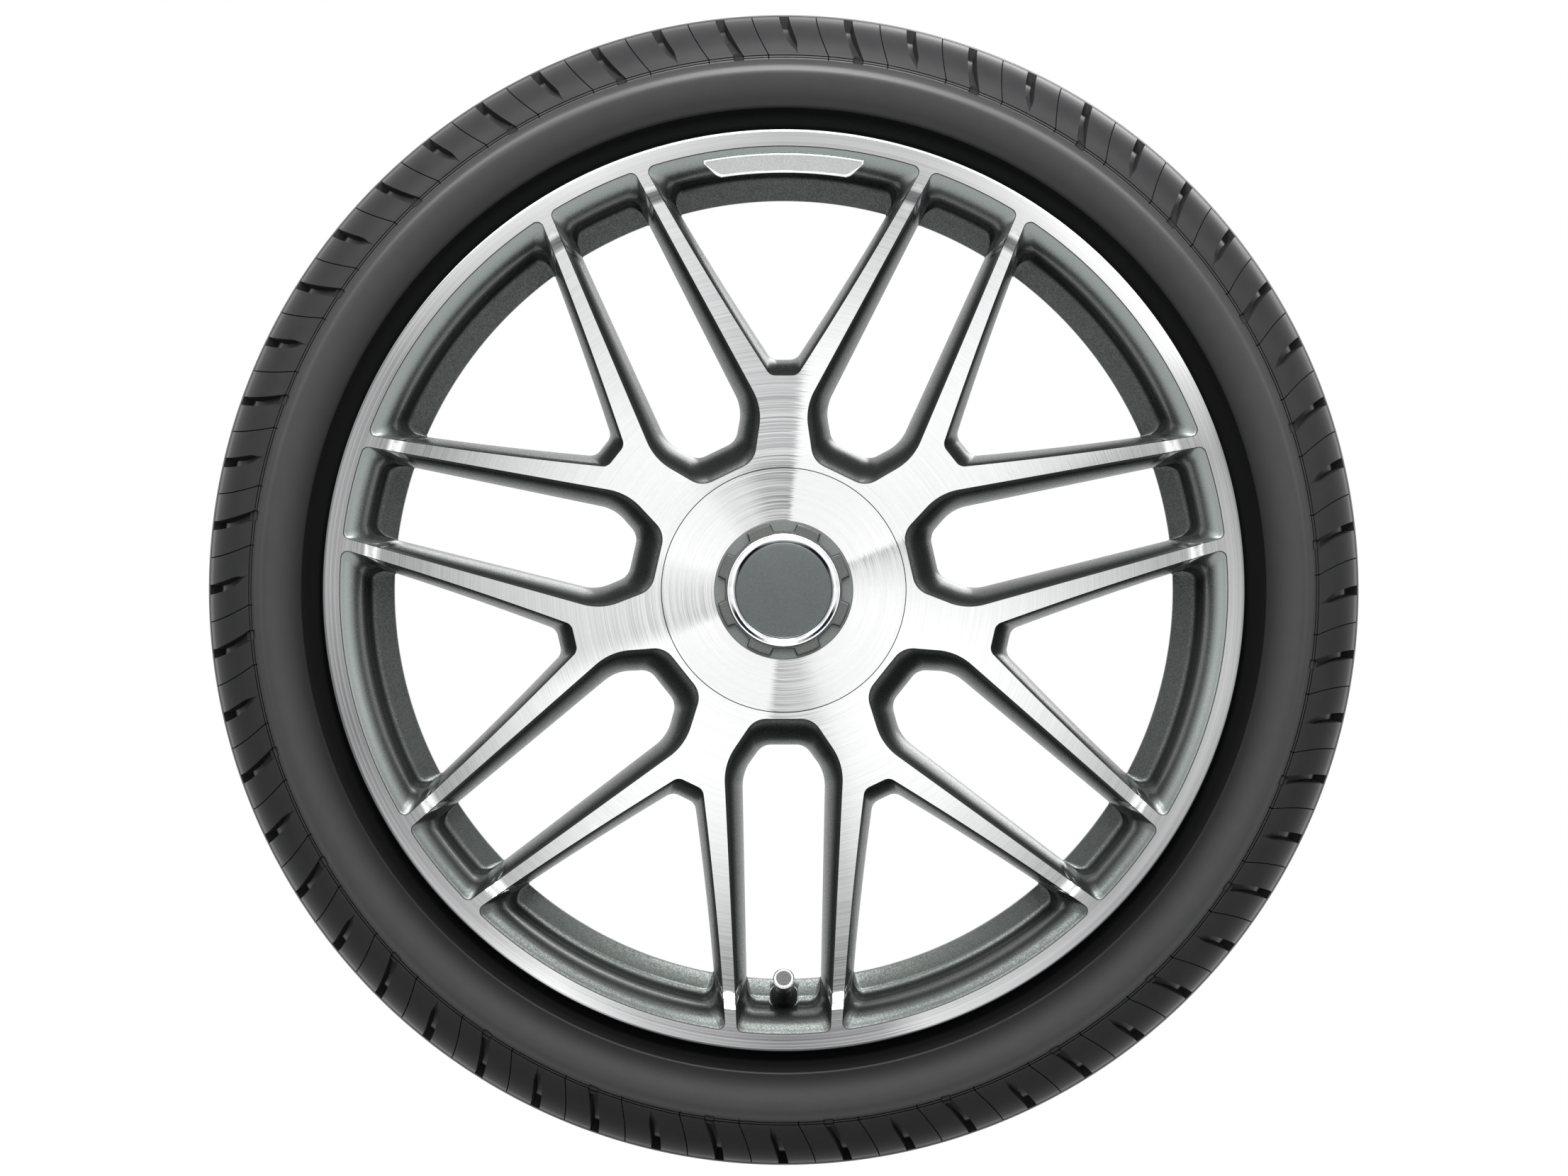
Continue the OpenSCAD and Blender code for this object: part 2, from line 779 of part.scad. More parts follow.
module cover_spring_ring() {
    color(steel)
    face_to_street()
    rotate([0, 0, 90 + 360 / clips / 2 + 10])
    rotate_extrude(angle = 340)
    translate([wire_in + 0.75 - wire_d / 2, wire_z])
    circle(d = wire_d, $fn = 24);
}

// Castellated ring, with a seat for the bezel and the disc
nut_r = nut_d / 2;
nut_step = 1.8;
nut_wall = nut_r - 1.3;
bezel_r = bezel_d / 2;
seat_z = cover_z + 2.4;

module notch() {
    floor_w = notch_w * 0.74;
    translate([0, 0, cover_z + nut_step - 0.3])
    linear_extrude(height = nut_h)
    polygon([
        [-notch_w / 2 - 0.9, nut_wall + 0.8],
        [-floor_w / 2, nut_wall - notch_depth],
        [floor_w / 2, nut_wall - notch_depth],
        [notch_w / 2 + 0.9, nut_wall + 0.8]
    ]);
}

module castellated_ring() {
    color(graphite)
    face_to_street()
    difference() {
        rotate_extrude()
        polygon([
            [0, cover_z + 0.4],
            [collar_in, cover_z + 0.4],
            [collar_in, cover_z - collar_h],
            [collar_out, cover_z - collar_h],
            [collar_out, cover_z],
            [nut_r - 0.3, cover_z],
            [nut_r, cover_z + 0.3],
            [nut_r, cover_z + nut_step - 0.5],
            [nut_r - 0.5, cover_z + nut_step],
            [nut_wall, cover_z + nut_step],
            [nut_wall - 0.6, cover_z + nut_h - 0.7],
            [nut_wall - 1.4, cover_z + nut_h],
            [bezel_r + run_gap, cover_z + nut_h],
            [bezel_r + run_gap, seat_z],
            [0, seat_z]
        ]);
        for (i = [0:notches - 1])
        rotate([0, 0, 360 / notches * i])
        notch();
    }
}

bezel_in = bezel_r - bezel_w;
module bezel_ring() {
    color(chrome)
    face_to_street()
    rotate_extrude()
    polygon(concat(
        [[bezel_in, seat_z], [bezel_r, seat_z], [bezel_r, seat_z + bezel_h - 1.2]],
        arc([bezel_r - 0.5, seat_z + bezel_h - 1.2], 0.5, 0, 150, 5),
        [[bezel_r - 1, seat_z + bezel_h - 1.2]],
        bezier([
            [bezel_r - 1.1, seat_z + bezel_h - 1.2],
            [bezel_r - 1.3, seat_z + bezel_h + 0.4],
            [bezel_in + 1.4, seat_z + bezel_h],
            [bezel_in, seat_z + disc_t - 0.4]
        ], 6)
    ));
}

module centre_disc() {
    color(graphite)
    face_to_street()
    rotate_extrude()
    polygon(concat(
        [[0, seat_z], [bezel_in - run_gap, seat_z], [bezel_in - run_gap, seat_z + disc_t - 0.5]],
        bezier([
            [bezel_in - run_gap - 0.5, seat_z + disc_t],
            [bezel_in * 0.7, seat_z + disc_t + 0.5],
            [bezel_in * 0.35, seat_z + disc_t + 0.8],
            [0, seat_z + disc_t + 0.8]
        ], 5)
    ));
}

// Valve, drawn along its own axis with the wheel's seat at zero
stem_r = stem_d / 2;
core_r = 2.25;
core_head_r = 2.6;
pin_r = 0.75;
pin_guide = 0.08;
cup_r = 1.9;
stem_top = valve_len - 2.6;
core_top = stem_top - 2.2;
core_len = 15;
core_bottom = core_top - core_len;
spring_floor = core_bottom + 2;
spring_roof = core_top - 3.4;
collar_top = spring_roof - bond;
pin_collar_h = 0.9;
cap_base = valve_len - cap_len;
rubber_top = cap_base - 0.3;
stem_bottom = -valve_wall - 9;

module valve_rubber() {
    color(rubber)
    face_to_street()
    at_valve()
    rotate_extrude()
    polygon([
        [stem_r + bond, stem_bottom + 1],
        [base_r - 3.4, stem_bottom + 1],
        [base_r, -valve_wall - 3.6],
        [base_r, -valve_wall - 1],
        [base_r - 0.6, -valve_wall],
        [valve_hole_d / 2 - run_gap, -valve_wall],
        [valve_hole_d / 2 - run_gap, 0],
        [collar_d / 2 - 0.5, 0],
        [collar_d / 2, 0.6],
        [collar_d / 2, 2.4],
        [collar_d / 2 - 0.8, 3.4],
        [skirt_d / 2 + 0.2, 8],
        [skirt_d / 2, 10],
        [skirt_d / 2 - 0.1, rubber_top],
        [stem_r + bond, rubber_top]
    ]);
}

module valve_stem() {
    color(brass)
    face_to_street()
    at_valve()
    difference() {
        union() {
            translate([0, 0, stem_bottom])
            cylinder(r = stem_r, h = stem_top - 0.6 - stem_bottom);
            translate([0, 0, stem_top - 0.6])
            cylinder(r1 = stem_r, r2 = stem_r - 0.6, h = 0.6);
        }
        translate([0, 0, stem_bottom - over])
        cylinder(r = core_r + run_gap, h = valve_len + 20, $fn = 48);
        translate([0, 0, core_top - 6])
        cylinder(r = core_head_r + run_gap, h = 10, $fn = 48);
    }
}

module valve_core() {
    color(brass)
    face_to_street()
    at_valve()
    rotate_extrude($fn = 48)
    polygon([
        [pin_r + pin_guide, core_bottom],
        [core_r, core_bottom],
        [core_r, core_top - 6],
        [core_head_r, core_top - 5.6],
        [core_head_r, core_top],
        [pin_r + pin_guide, core_top],
        [pin_r + pin_guide, spring_roof],
        [1.7, spring_roof],
        [1.7, spring_floor],
        [pin_r + pin_guide, spring_floor]
    ]);
}

module valve_pin() {
    color(brass)
    face_to_street()
    at_valve()
    rotate_extrude($fn = 48)
    polygon([
        [0, core_bottom - 2.4],
        [cup_r - 0.3, core_bottom - 2.4],
        [cup_r, core_bottom - 2.1],
        [cup_r, core_bottom - 0.7],
        [pin_r, core_bottom - 0.7],
        [pin_r, collar_top - pin_collar_h],
        [1.35, collar_top - pin_collar_h],
        [1.35, collar_top],
        [pin_r, collar_top],
        [pin_r, stem_top - 0.7],
        [pin_r - 0.2, stem_top - 0.4],
        [0, stem_top - 0.4]
    ]);
}

module valve_pin_seal() {
    color(rubber)
    face_to_street()
    at_valve()
    rotate_extrude($fn = 48)
    polygon([
        [pin_r + bond, core_bottom - 0.7],
        [cup_r, core_bottom - 0.7],
        [cup_r, core_bottom - bond],
        [pin_r + bond, core_bottom - bond]
    ]);
}

// The spring is one closed sleeve of its outer and inner size
module valve_spring() {
    color(steel)
    face_to_street()
    at_valve()
    rotate_extrude($fn = 48)
    polygon([
        [pin_r + 0.3, spring_floor],
        [1.5, spring_floor],
        [1.5, collar_top - pin_collar_h],
        [pin_r + 0.3, collar_top - pin_collar_h]
    ]);
}

seal_t = 1.2;
cap_roof = stem_top + seal_t + 0.05;
insert_r = 4.5;
insert_t = 0.7;
module valve_cap() {
    color(chrome)
    face_to_street()
    at_valve()
    rotate_extrude()
    polygon([
        [0, valve_len - insert_t],
        [insert_r + bond, valve_len - insert_t],
        [insert_r + bond, valve_len - 0.3],
        [insert_r + 0.7, valve_len],
        [cap_d / 2 - 0.9, valve_len],
        [cap_d / 2, valve_len - 0.9],
        [cap_d / 2, valve_len - 4.2],
        [skirt_d / 2, valve_len - 5.2],
        [skirt_d / 2, cap_base],
        [stem_r + run_gap, cap_base],
        [stem_r + run_gap, cap_roof],
        [0, cap_roof]
    ]);
}

module valve_cap_insert() {
    color(rubber)
    face_to_street()
    at_valve()
    translate([0, 0, valve_len - insert_t])
    cylinder(r = insert_r, h = insert_t - 0.25);
}

module valve_cap_seal() {
    color(rubber)
    face_to_street()
    at_valve()
    translate([0, 0, stem_top + 0.05])
    cylinder(r = stem_r, h = seal_t);
}

alloy_wheel();
tyre();
hub_cover();
cover_spring_ring();
castellated_ring();
bezel_ring();
centre_disc();
valve_rubber();
valve_stem();
valve_core();
valve_pin();
valve_pin_seal();
valve_spring();
valve_cap();
valve_cap_insert();
valve_cap_seal();
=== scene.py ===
# %% [markdown]
# # A car wheel with a turned twin-spoke face
#
# The object is an alloy wheel with its tyre, seen square on. The metal pieces come packed from CAD,
# as a fixed frame. This lesson dresses them: it builds the finely rounded wheel and the cut tread
# in mesh code, gives each finish a procedural material, and lights the wheel as in a catalogue.
# Sizes are in millimetres while a mesh is drawn, with x to the right, y up and z towards the
# street, and they become Blender's metres when a piece is placed.

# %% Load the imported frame
import math

import bmesh
import bpy
import numpy as np
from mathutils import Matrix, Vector, kdtree
from mathutils.geometry import delaunay_2d_cdt


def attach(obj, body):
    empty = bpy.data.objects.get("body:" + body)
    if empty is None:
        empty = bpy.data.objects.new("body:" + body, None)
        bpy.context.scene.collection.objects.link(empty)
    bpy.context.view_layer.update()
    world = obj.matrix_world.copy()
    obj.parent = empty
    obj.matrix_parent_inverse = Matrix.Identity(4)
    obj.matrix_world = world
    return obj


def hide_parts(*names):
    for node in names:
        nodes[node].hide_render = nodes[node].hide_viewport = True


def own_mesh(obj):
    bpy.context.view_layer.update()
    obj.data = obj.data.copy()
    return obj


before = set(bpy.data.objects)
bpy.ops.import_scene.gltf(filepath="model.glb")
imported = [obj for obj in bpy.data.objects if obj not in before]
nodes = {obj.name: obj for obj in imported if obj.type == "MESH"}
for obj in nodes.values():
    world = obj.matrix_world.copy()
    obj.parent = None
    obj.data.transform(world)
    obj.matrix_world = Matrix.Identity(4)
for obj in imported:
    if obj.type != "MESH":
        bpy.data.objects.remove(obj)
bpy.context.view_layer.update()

# %% [markdown]
# ## A skin that grows face by face
#
# A wheel is turned on a lathe and then milled, so its surfaces are rings, bands between two
# outlines, and flat regions with holes. One small class makes all three. Points that fall on the
# same place become one vertex, so the parts of a piece close up into one solid without a repair.


# %% Class: a skin of points and faces
class Skin:
    """Points and faces in millimetres. Each face remembers the number of its finish."""

    def __init__(self):
        self.points, self.faces, self.finishes, self.known = [], [], [], {}

    def point(self, p):
        key = (round(p[0], 3), round(p[1], 3), round(p[2], 3))
        if key not in self.known:
            self.known[key] = len(self.points)
            self.points.append(p)
        return self.known[key]

    def face(self, corners, finish=0):
        ids = list(dict.fromkeys(self.point(p) for p in corners))
        if len(ids) > 2:
            self.faces.append(ids)
            self.finishes.append(finish)

    def band(self, a, b, finish=0):
        """A closed band between two loops with as many points."""
        for i in range(len(a)):
            j = (i + 1) % len(a)
            self.face((a[i], a[j], b[j], b[i]), finish)

    def bands(self, loops, finish=0):
        for a, b in zip(loops, loops[1:]):
            self.band(a, b, finish)

    def region(self, loops, height, finish=0, seeds=None):
        """What lies inside the first loop and outside the others, with seeds raised to height(r)."""
        flat = [tuple(p) for loop in loops for p in loop]
        edges, first = [], 0
        for loop in loops:
            edges += [(first + i, first + (i + 1) % len(loop)) for i in range(len(loop))]
            first += len(loop)
        plan = [Vector(p[:2]) for p in flat]
        if seeds is not None:
            plan += [Vector(p) for p in clear_of(seeds, loops)]
        found, _, triangles, origin, _, _ = delaunay_2d_cdt(plan, edges, [], 0, 1e-6)
        solid = []
        for p, source in zip(found, origin):
            known = [i for i in source if i < len(flat)]
            solid.append(flat[known[0]] if known else (p.x, p.y, height(p.length)))
        middles = np.array([[sum(found[i][k] for i in t) / 3 for k in (0, 1)] for t in triangles])
        keep = inside(middles, loops[0])
        for hole in loops[1:]:
            keep &= ~inside(middles, hole)
        for t, wanted in zip(triangles, keep):
            if wanted:
                self.face([solid[i] for i in t], finish)

    def piece(self, name, finishes, crease=32):
        """The skin as a Blender object, in metres, in the frame's own axes."""
        mesh = bpy.data.meshes.new(name)
        mesh.from_pydata([(x / 1000, -z / 1000, y / 1000) for x, y, z in self.points], [], self.faces)
        for finish in finishes:
            mesh.materials.append(finish)
        mesh.polygons.foreach_set("material_index", self.finishes)
        return settle(mesh, name, crease)


def settle(mesh, name, crease):
    """Turns all faces outwards, smooths what is round, and leaves real edges sharp."""
    work = bmesh.new()
    work.from_mesh(mesh)
    bmesh.ops.recalc_face_normals(work, faces=work.faces)
    open_edges = sum(not e.is_manifold for e in work.edges)
    work.to_mesh(mesh)
    work.free()
    mesh.shade_smooth()
    mesh.set_sharp_from_angle(angle=math.radians(crease))
    made = bpy.data.objects.new(name, mesh)
    bpy.context.scene.collection.objects.link(made)
    triangles = sum(len(p.vertices) - 2 for p in mesh.polygons)
    print(f"{name}: {triangles} triangles, {open_edges} open edges")
    return made


# %% Helpers: points in plan
def inside(points, loop):
    """Which points lie inside the closed outline."""
    x, y, hit = points[:, 0], points[:, 1], np.zeros(len(points), bool)
    loop = np.array([p[:2] for p in loop])
    for (ax, ay), (bx, by) in zip(loop, np.roll(loop, -1, 0)):
        if ay != by:
            hit ^= ((ay > y) != (by > y)) & (x < (bx - ax) * (y - ay) / (by - ay) + ax)
    return hit


def clear_of(seeds, loops, margin=0.9):
    """The seeds that aren't too near an outline, where they would only make slivers."""
    near = [(a[k] + (b[k] - a[k]) * s for k in (0, 1))
            for loop in loops for a, b in zip(loop, [*loop[1:], loop[0]]) for s in (0, 0.25, 0.5, 0.75)]
    tree = kdtree.KDTree(len(near))
    for i, p in enumerate(near):
        tree.insert((*p, 0), i)
    tree.balance()
    return [p for p in seeds if tree.find((p[0], p[1], 0))[2] > margin]


# Points of a full circle: on the rim, on the hub and in its bore
RIM_STEPS, HUB_STEPS, BORE_STEPS = 384, 192, 96


def ring(r, z, n=RIM_STEPS, start=0.0):
    """A level circle of n points."""
    a = np.linspace(0, 2 * math.pi, n, endpoint=False) + start
    return [(r * c, r * s, z) for c, s in zip(np.cos(a), np.sin(a))]


def rings(profile, n=HUB_STEPS):
    """A circle for each (radius, height)."""
    return [ring(r, z, n) for r, z in profile]


def arc(cx, cy, r, start, end, n):
    a = np.radians(np.linspace(start, end, n + 1))
    return [(cx + r * c, cy + r * s) for c, s in zip(np.cos(a), np.sin(a))]


def curve(points, n):
    """A Bezier curve over four points."""
    t = np.linspace(0, 1, n + 1)[:, None]
    p = np.array(points, float)
    made = (1 - t) ** 3 * p[0] + 3 * (1 - t) ** 2 * t * p[1] + 3 * (1 - t) * t**2 * p[2] + t**3 * p[3]
    return [tuple(q) for q in made]


# %% [markdown]
# ## Sizes of the wheel
#
# These repeat the named sizes of the CAD source, so that every rounded surface lies on the solid
# that it dresses. The face is dished: it is lowest at the hub, rises along the arms, rolls over in
# a short bend and ends in a flat band.

# %% Sizes of the wheel and its face
HALF_WIDTH = 107.95
SEAT_R = 256.4
FLANGE_R = 273.7
FRONT_Z = 120.45
BACK_Z = -118.45
RING_IN = 263.3
BEND_OUT = 251.0
BEND_IN = 240.8
BEND_Z = 113.45
HUB_Z = 92.45
COVER_R = 72.6
RECESS_R = 72.9
SEAM = 0.13
RECESS_Z = 76.45
MOUNT_Z = 33.0
PAD_R = 75.0
BARREL_IN = 230.2
SPOKE_BACK_HUB = 56.45
SPOKE_BACK_RIM = 76.45
SPOKES = 7
HALF_PITCH = 180 / SPOKES


def face_height(r):
    """Height of the turned face at a distance r from the axle."""
    if r >= BEND_OUT:
        return FRONT_Z
    if r > BEND_IN:
        t = (BEND_OUT - r) / (BEND_OUT - BEND_IN)
        return FRONT_Z - (FRONT_Z - BEND_Z) * t * t * (3 - 2 * t)
    return HUB_Z + (BEND_Z - HUB_Z) * (max(r - COVER_R, 0) / (BEND_IN - COVER_R)) ** 1.15


def back_height(r):
    """Height of the spokes' back."""
    t = min(1.0, max(0.0, (r - PAD_R) / (BARREL_IN - 5 - PAD_R)))
    return SPOKE_BACK_HUB + (SPOKE_BACK_RIM - SPOKE_BACK_HUB) * t**0.8


print("face", [round(face_height(r), 1) for r in (80, 160, 240, 246, 255)])

# %% [markdown]
# ## Outlines of the windows
#
# Seven V windows lie between the arms of a pair, and seven U slots between the pairs. Each has an
# outline that narrows with depth, because a forged pocket has draught. An outline is drawn as its
# right half, from the middle of its hub end, over rounded corners, up the side and round into the
# rim. All depths give as many points, so bands between them close the pocket's wall.


# %% Helpers: rounded corners
def unit(v):
    return v / np.linalg.norm(v)


def rounded(a, p, b, r, n):
    """A corner at p on the way from a to b, rounded with radius r."""
    u, v = unit(a - p), unit(b - p)
    half = math.acos(float(np.dot(u, v))) / 2
    centre = p + unit(u + v) * r / math.sin(half)
    return swept(centre, p + u * r / math.tan(half), p + v * r / math.tan(half), n)


def swept(centre, start, end, n):
    """The short arc about a centre."""
    s, e = start - centre, end - centre
    first = math.atan2(s[1], s[0])
    by = (math.atan2(e[1], e[0]) - first + math.pi) % (2 * math.pi) - math.pi
    a = first + by * np.linspace(0, 1, n + 1)
    return centre + np.linalg.norm(s) * np.stack([np.cos(a), np.sin(a)], 1)


def into_rim(p, d, big, r, n):
    """A corner from the line p, d to the circle of radius big about the axle."""
    inward = np.array([-d[1], d[0]])
    o = p + inward * r
    b = float(np.dot(o, d))
    centre = o + d * (math.sqrt(b * b - float(np.dot(o, o)) + (big - r) ** 2) - b)
    return swept(centre, centre - inward * r, centre * big / np.linalg.norm(centre), n)


# %% Outlines at a depth share f
TIP_W, TIP_R = 17.35, 76.2
WIDE_W, WIDE_R = 35.5, 103.0
RIM_W = 27.8
ARM_HUB, ARM_RIM, ARM_CURVE, ARM_START = 13.0, 6.5, 1.7, 14.0
CROTCH_R = 127.0


def vec(x, y):
    return np.array([x, y], float)


def turned(points, degrees):
    c, s = math.cos(math.radians(degrees)), math.sin(math.radians(degrees))
    return np.asarray(points) @ np.array([[c, s], [-s, c]])


ARM_A = turned(vec(-WIDE_W, WIDE_R), -HALF_PITCH)
ARM_B = turned(vec(-RIM_W, RING_IN), -HALF_PITCH)
ARM_DIR = unit(ARM_B - ARM_A)
ARM_LEFT = vec(-ARM_DIR[1], ARM_DIR[0])
ARM_LEN = float(np.linalg.norm(ARM_B - ARM_A))


def arm_side(along, f):
    """The side of an arm that faces the V window."""
    fade = min(1.0, max(0.0, (ARM_LEN - along) / (ARM_LEN - ARM_START))) ** ARM_CURVE
    width = ARM_RIM + (ARM_HUB - ARM_RIM) * fade + f * (5.4 - 0.9 + 1.4 * fade)
    return ARM_A + ARM_DIR * along + ARM_LEFT * width


def slot_half(f, big, fillet, shares):
    tip = vec(TIP_W - 4.85 * f, TIP_R + 15.3 * f)
    wide = vec(WIDE_W - 11 * f, WIDE_R + 4.9 * f)
    rim = vec(RIM_W - 6.5 * f, RING_IN)
    lower = rounded(vec(0, tip[1]), tip, wide, 13.5 - 3.5 * f, 9)
    upper = rounded(tip, wide, rim, 34 - 9 * f, 12)
    end = into_rim(wide, unit(rim - wide), big, fillet, 8)
    side = [upper[-1] + (end[0] - upper[-1]) * s for s in shares]
    return np.vstack([lower, upper, side, end])


def window_half(f, big, fillet, shares):
    tip_y = CROTCH_R + 9.4 * f
    low, high = arm_side(ARM_START, f), arm_side(ARM_START + 12, f)
    tip = vec(low[0] + (tip_y - low[1]) * (high[0] - low[0]) / (high[1] - low[1]), tip_y)
    lower = rounded(vec(0, tip_y), tip, high, 6 + f, 9)
    reach = math.sqrt(big**2 - 60**2)
    near = arm_side(reach - 9 - float(np.dot(ARM_A, ARM_DIR)), f)
    far = arm_side(reach - 5.5 - float(np.dot(ARM_A, ARM_DIR)), f)
    end = into_rim(near, unit(far - near), big, fillet, 8)
    first = float(np.dot(lower[-1] - ARM_A, ARM_DIR))
    last = float(np.dot(end[0] - ARM_A, ARM_DIR))
    side = [arm_side(first + (last - first) * s, f) for s in shares]
    return np.vstack([lower, side, end])


def whole(half, big, n=30):
    """A closed outline from its right half and an arc along the rim."""
    first = math.atan2(half[-1][1], half[-1][0])
    a = np.linspace(first, math.pi - first, n + 1)[1:-1]
    top = big * np.stack([np.cos(a), np.sin(a)], 1)
    return np.vstack([half, top, (half * [-1, 1])[::-1]])


# Depth below the face, share of the flank's slope, rim radius and corner radius
POCKET_LEVELS = [
    (0.0, 0.00, 263.3, 4.2), (0.6, 0.04, 262.7, 4.2), (1.2, 0.10, 261.2, 4.4), (3.0, 0.24, 258.2, 4.8),
    (5.5, 0.39, 255.2, 5.2), (9.5, 0.57, 252.0, 5.8), (14.0, 0.74, 250.0, 6.4), (20.0, 0.88, 248.6, 6.8),
    (27.0, 1.00, 247.8, 7.0), (32.0, 1.00, 246.4, 7.0), (35.4, 1.00, 243.8, 6.4), (36.9, 1.00, 241.4, 5.6),
    (37.3, 1.00, 240.2, 5.2), (38.3, 1.00, 231.8, 1.4), (39.0, 1.00, 230.5, 1.0), (44.0, 1.00, 230.2, 1.0),
]
FULL_SLOPE = 27.0
RIM_DEPTH = FRONT_Z - SPOKE_BACK_RIM


def shares_for(half):
    """Where the points along a side go: close together over the bend, where the face turns."""
    fine = np.linspace(0, 1, 400)
    start = half(0, RING_IN, 4.2, fine)
    radii = np.linalg.norm(start[-9 - 400:-9], axis=1)
    wanted = [*np.arange(radii[0] + 4, 236, 5.5), *np.arange(238.5, 253, 1.6), 255.5]
    return np.interp(wanted, radii, fine)


def pocket(half, turn_by):
    """The loops of one pocket's wall, from the face to the back."""
    shares = shares_for(half)
    top, loops = None, []
    for depth, f, big, fillet in POCKET_LEVELS:
        loop = whole(half(f, big, fillet, shares), big)
        radii = np.linalg.norm(loop, axis=1)
        top = radii if top is None else top
        loop = turned(loop, turn_by)
        points = []
        for (x, y), r0, r in zip(loop, top, radii):
            z = face_height(r0) - min(depth, FULL_SLOPE)
            if depth > FULL_SLOPE:
                z += (back_height(r) - z) * (depth - FULL_SLOPE) / (RIM_DEPTH - FULL_SLOPE)
            points.append((x, y, z))
        loops.append(points)
    return loops


pockets = []
for i in range(SPOKES):
    pockets.append(pocket(window_half, 2 * HALF_PITCH * i))
    pockets.append(pocket(slot_half, 2 * HALF_PITCH * (i + 0.5)))
print("pockets", len(pockets), "points a loop", len(pockets[0][0]), len(pockets[1][0]))

# %% [markdown]
# ## Node helpers and shared finishes
#
# A finish is a Principled shader with a few texture nodes. The helpers below only save typing.
# Four effects are node groups. The flakes of metallic paint, a point's place about the axle and
# the dry bloom on rubber each serve several finishes. The lines that a lathe tool leaves, together
# with the painted reflections, painted highlight and painted shade of the turned face, are one
# finish, which the wheel's face and its cover share.


# %% Helpers: materials and groups
# The Mix node's inputs by number: its two plain values and its two colours
VALUE_A, VALUE_B, COLOUR_A, COLOUR_B = 2, 3, 6, 7


def new_finish(name, colour, metallic, roughness, **values):
    """A material with a Principled shader whose plain values sit on its own sockets."""
    finish = bpy.data.materials.new(name)
    finish.use_nodes = True
    shader = finish.node_tree.nodes["Principled BSDF"]
    shader.inputs["Base Color"].default_value = (*colour, 1)
    shader.inputs["Metallic"].default_value = metallic
    shader.inputs["Roughness"].default_value = roughness
    for socket, value in values.items():
        shader.inputs[socket.replace("_", " ")].default_value = value
    return finish, finish.node_tree, shader


def wire(tree, kind, links=None, **settings):
    """A node with its settings, and links as {input: source or value}."""
    made = tree.nodes.new("ShaderNode" + kind)
    for key, value in settings.items():
        setattr(made, key, value)
    for key, source in (links or {}).items():
        if isinstance(source, bpy.types.NodeSocket):
            tree.links.new(source, made.inputs[key])
        else:
            made.inputs[key].default_value = source
    return made


def maths(tree, operation, a, b=0.0):
    return wire(tree, "Math", {0: a, 1: b}, operation=operation).outputs[0]


def times(tree, a, b):
    return maths(tree, "MULTIPLY", a, b)


def plus(tree, a, b):
    return maths(tree, "ADD", a, b)


def between(tree, value, low, high):
    """0 up to low and 1 from high on, with a soft change; low may be the larger one."""
    links = {"Value": value, "From Min": low, "From Max": high}
    return wire(tree, "MapRange", links, interpolation_type="SMOOTHSTEP").outputs[0]


def new_group(name, inputs, outputs):
    """A node group with named sockets, and its input node."""
    group = bpy.data.node_groups.new(name, "ShaderNodeTree")
    for socket, value in inputs.items():
        made = group.interface.new_socket(socket, in_out="INPUT", socket_type="NodeSocketFloat")
        made.default_value = value
    for socket in outputs:
        group.interface.new_socket(socket, in_out="OUTPUT", socket_type="NodeSocketFloat")
    return group, group.nodes.new("NodeGroupInput"), group.nodes.new("NodeGroupOutput")


def use_group(tree, group, **values):
    made = tree.nodes.new("ShaderNodeGroup")
    made.node_tree = group
    for socket, value in values.items():
        made.inputs[socket.replace("_", " ")].default_value = value
    return made


def bump(tree, shader, height, strength, distance):
    made = wire(tree, "Bump", {"Strength": strength, "Distance": distance, "Height": height})
    tree.links.new(made.outputs[0], shader.inputs["Normal"])


# %% Group: lines of a lathe tool and painted light on the turned face
lathe_lines_and_painted_light, _, lathe_out = new_group("lathe lines and painted light", {}, ["Tone", "Rough", "Height"])
place = wire(lathe_lines_and_painted_light, "TexCoord").outputs["Object"]
parts = wire(lathe_lines_and_painted_light, "SeparateXYZ", {0: place})
flat = wire(lathe_lines_and_painted_light, "CombineXYZ", {0: parts.outputs[0], 2: parts.outputs[2]}).outputs[0]
radius = wire(lathe_lines_and_painted_light, "VectorMath", {0: flat}, operation="LENGTH").outputs["Value"]
heading = wire(lathe_lines_and_painted_light, "VectorMath", {0: flat}, operation="NORMALIZE").outputs[0]
head = wire(lathe_lines_and_painted_light, "SeparateXYZ", {0: heading})


def line_noise(lines_a_metre, drift, detail):
    """Noise that runs in circles about the axle and changes slowly along them."""
    spot = wire(
        lathe_lines_and_painted_light,
        "CombineXYZ",
        {
            0: times(lathe_lines_and_painted_light, radius, lines_a_metre),
            1: times(lathe_lines_and_painted_light, head.outputs[0], drift),
            2: times(lathe_lines_and_painted_light, head.outputs[2], drift),
        },
    ).outputs[0]
    return wire(lathe_lines_and_painted_light, "TexNoise", {"Vector": spot, "Scale": 1.0, "Detail": detail}).outputs[0]


def stretched(value, low, high, to_low=0.0, to_high=1.0):
    """The value with a part of its range stretched to another range, and clamped."""
    links = {"Value": value, "From Min": low, "From Max": high, "To Min": to_low, "To Max": to_high}
    return wire(lathe_lines_and_painted_light, "MapRange", links).outputs[0]


# The painted reflection fans have ragged edges, because each line ends at its own place
angle = maths(lathe_lines_and_painted_light, "ARCTAN2", parts.outputs[2], parts.outputs[0])
turn = {0: angle, 1: 1 / (2 * math.pi), 2: 0.5}
turn = wire(lathe_lines_and_painted_light, "Math", turn, operation="MULTIPLY_ADD").outputs[0]
ragged = stretched(line_noise(1300, 0.0, 3.0), 0.25, 0.75, -0.01, 0.01)
swing = plus(lathe_lines_and_painted_light, turn, ragged)


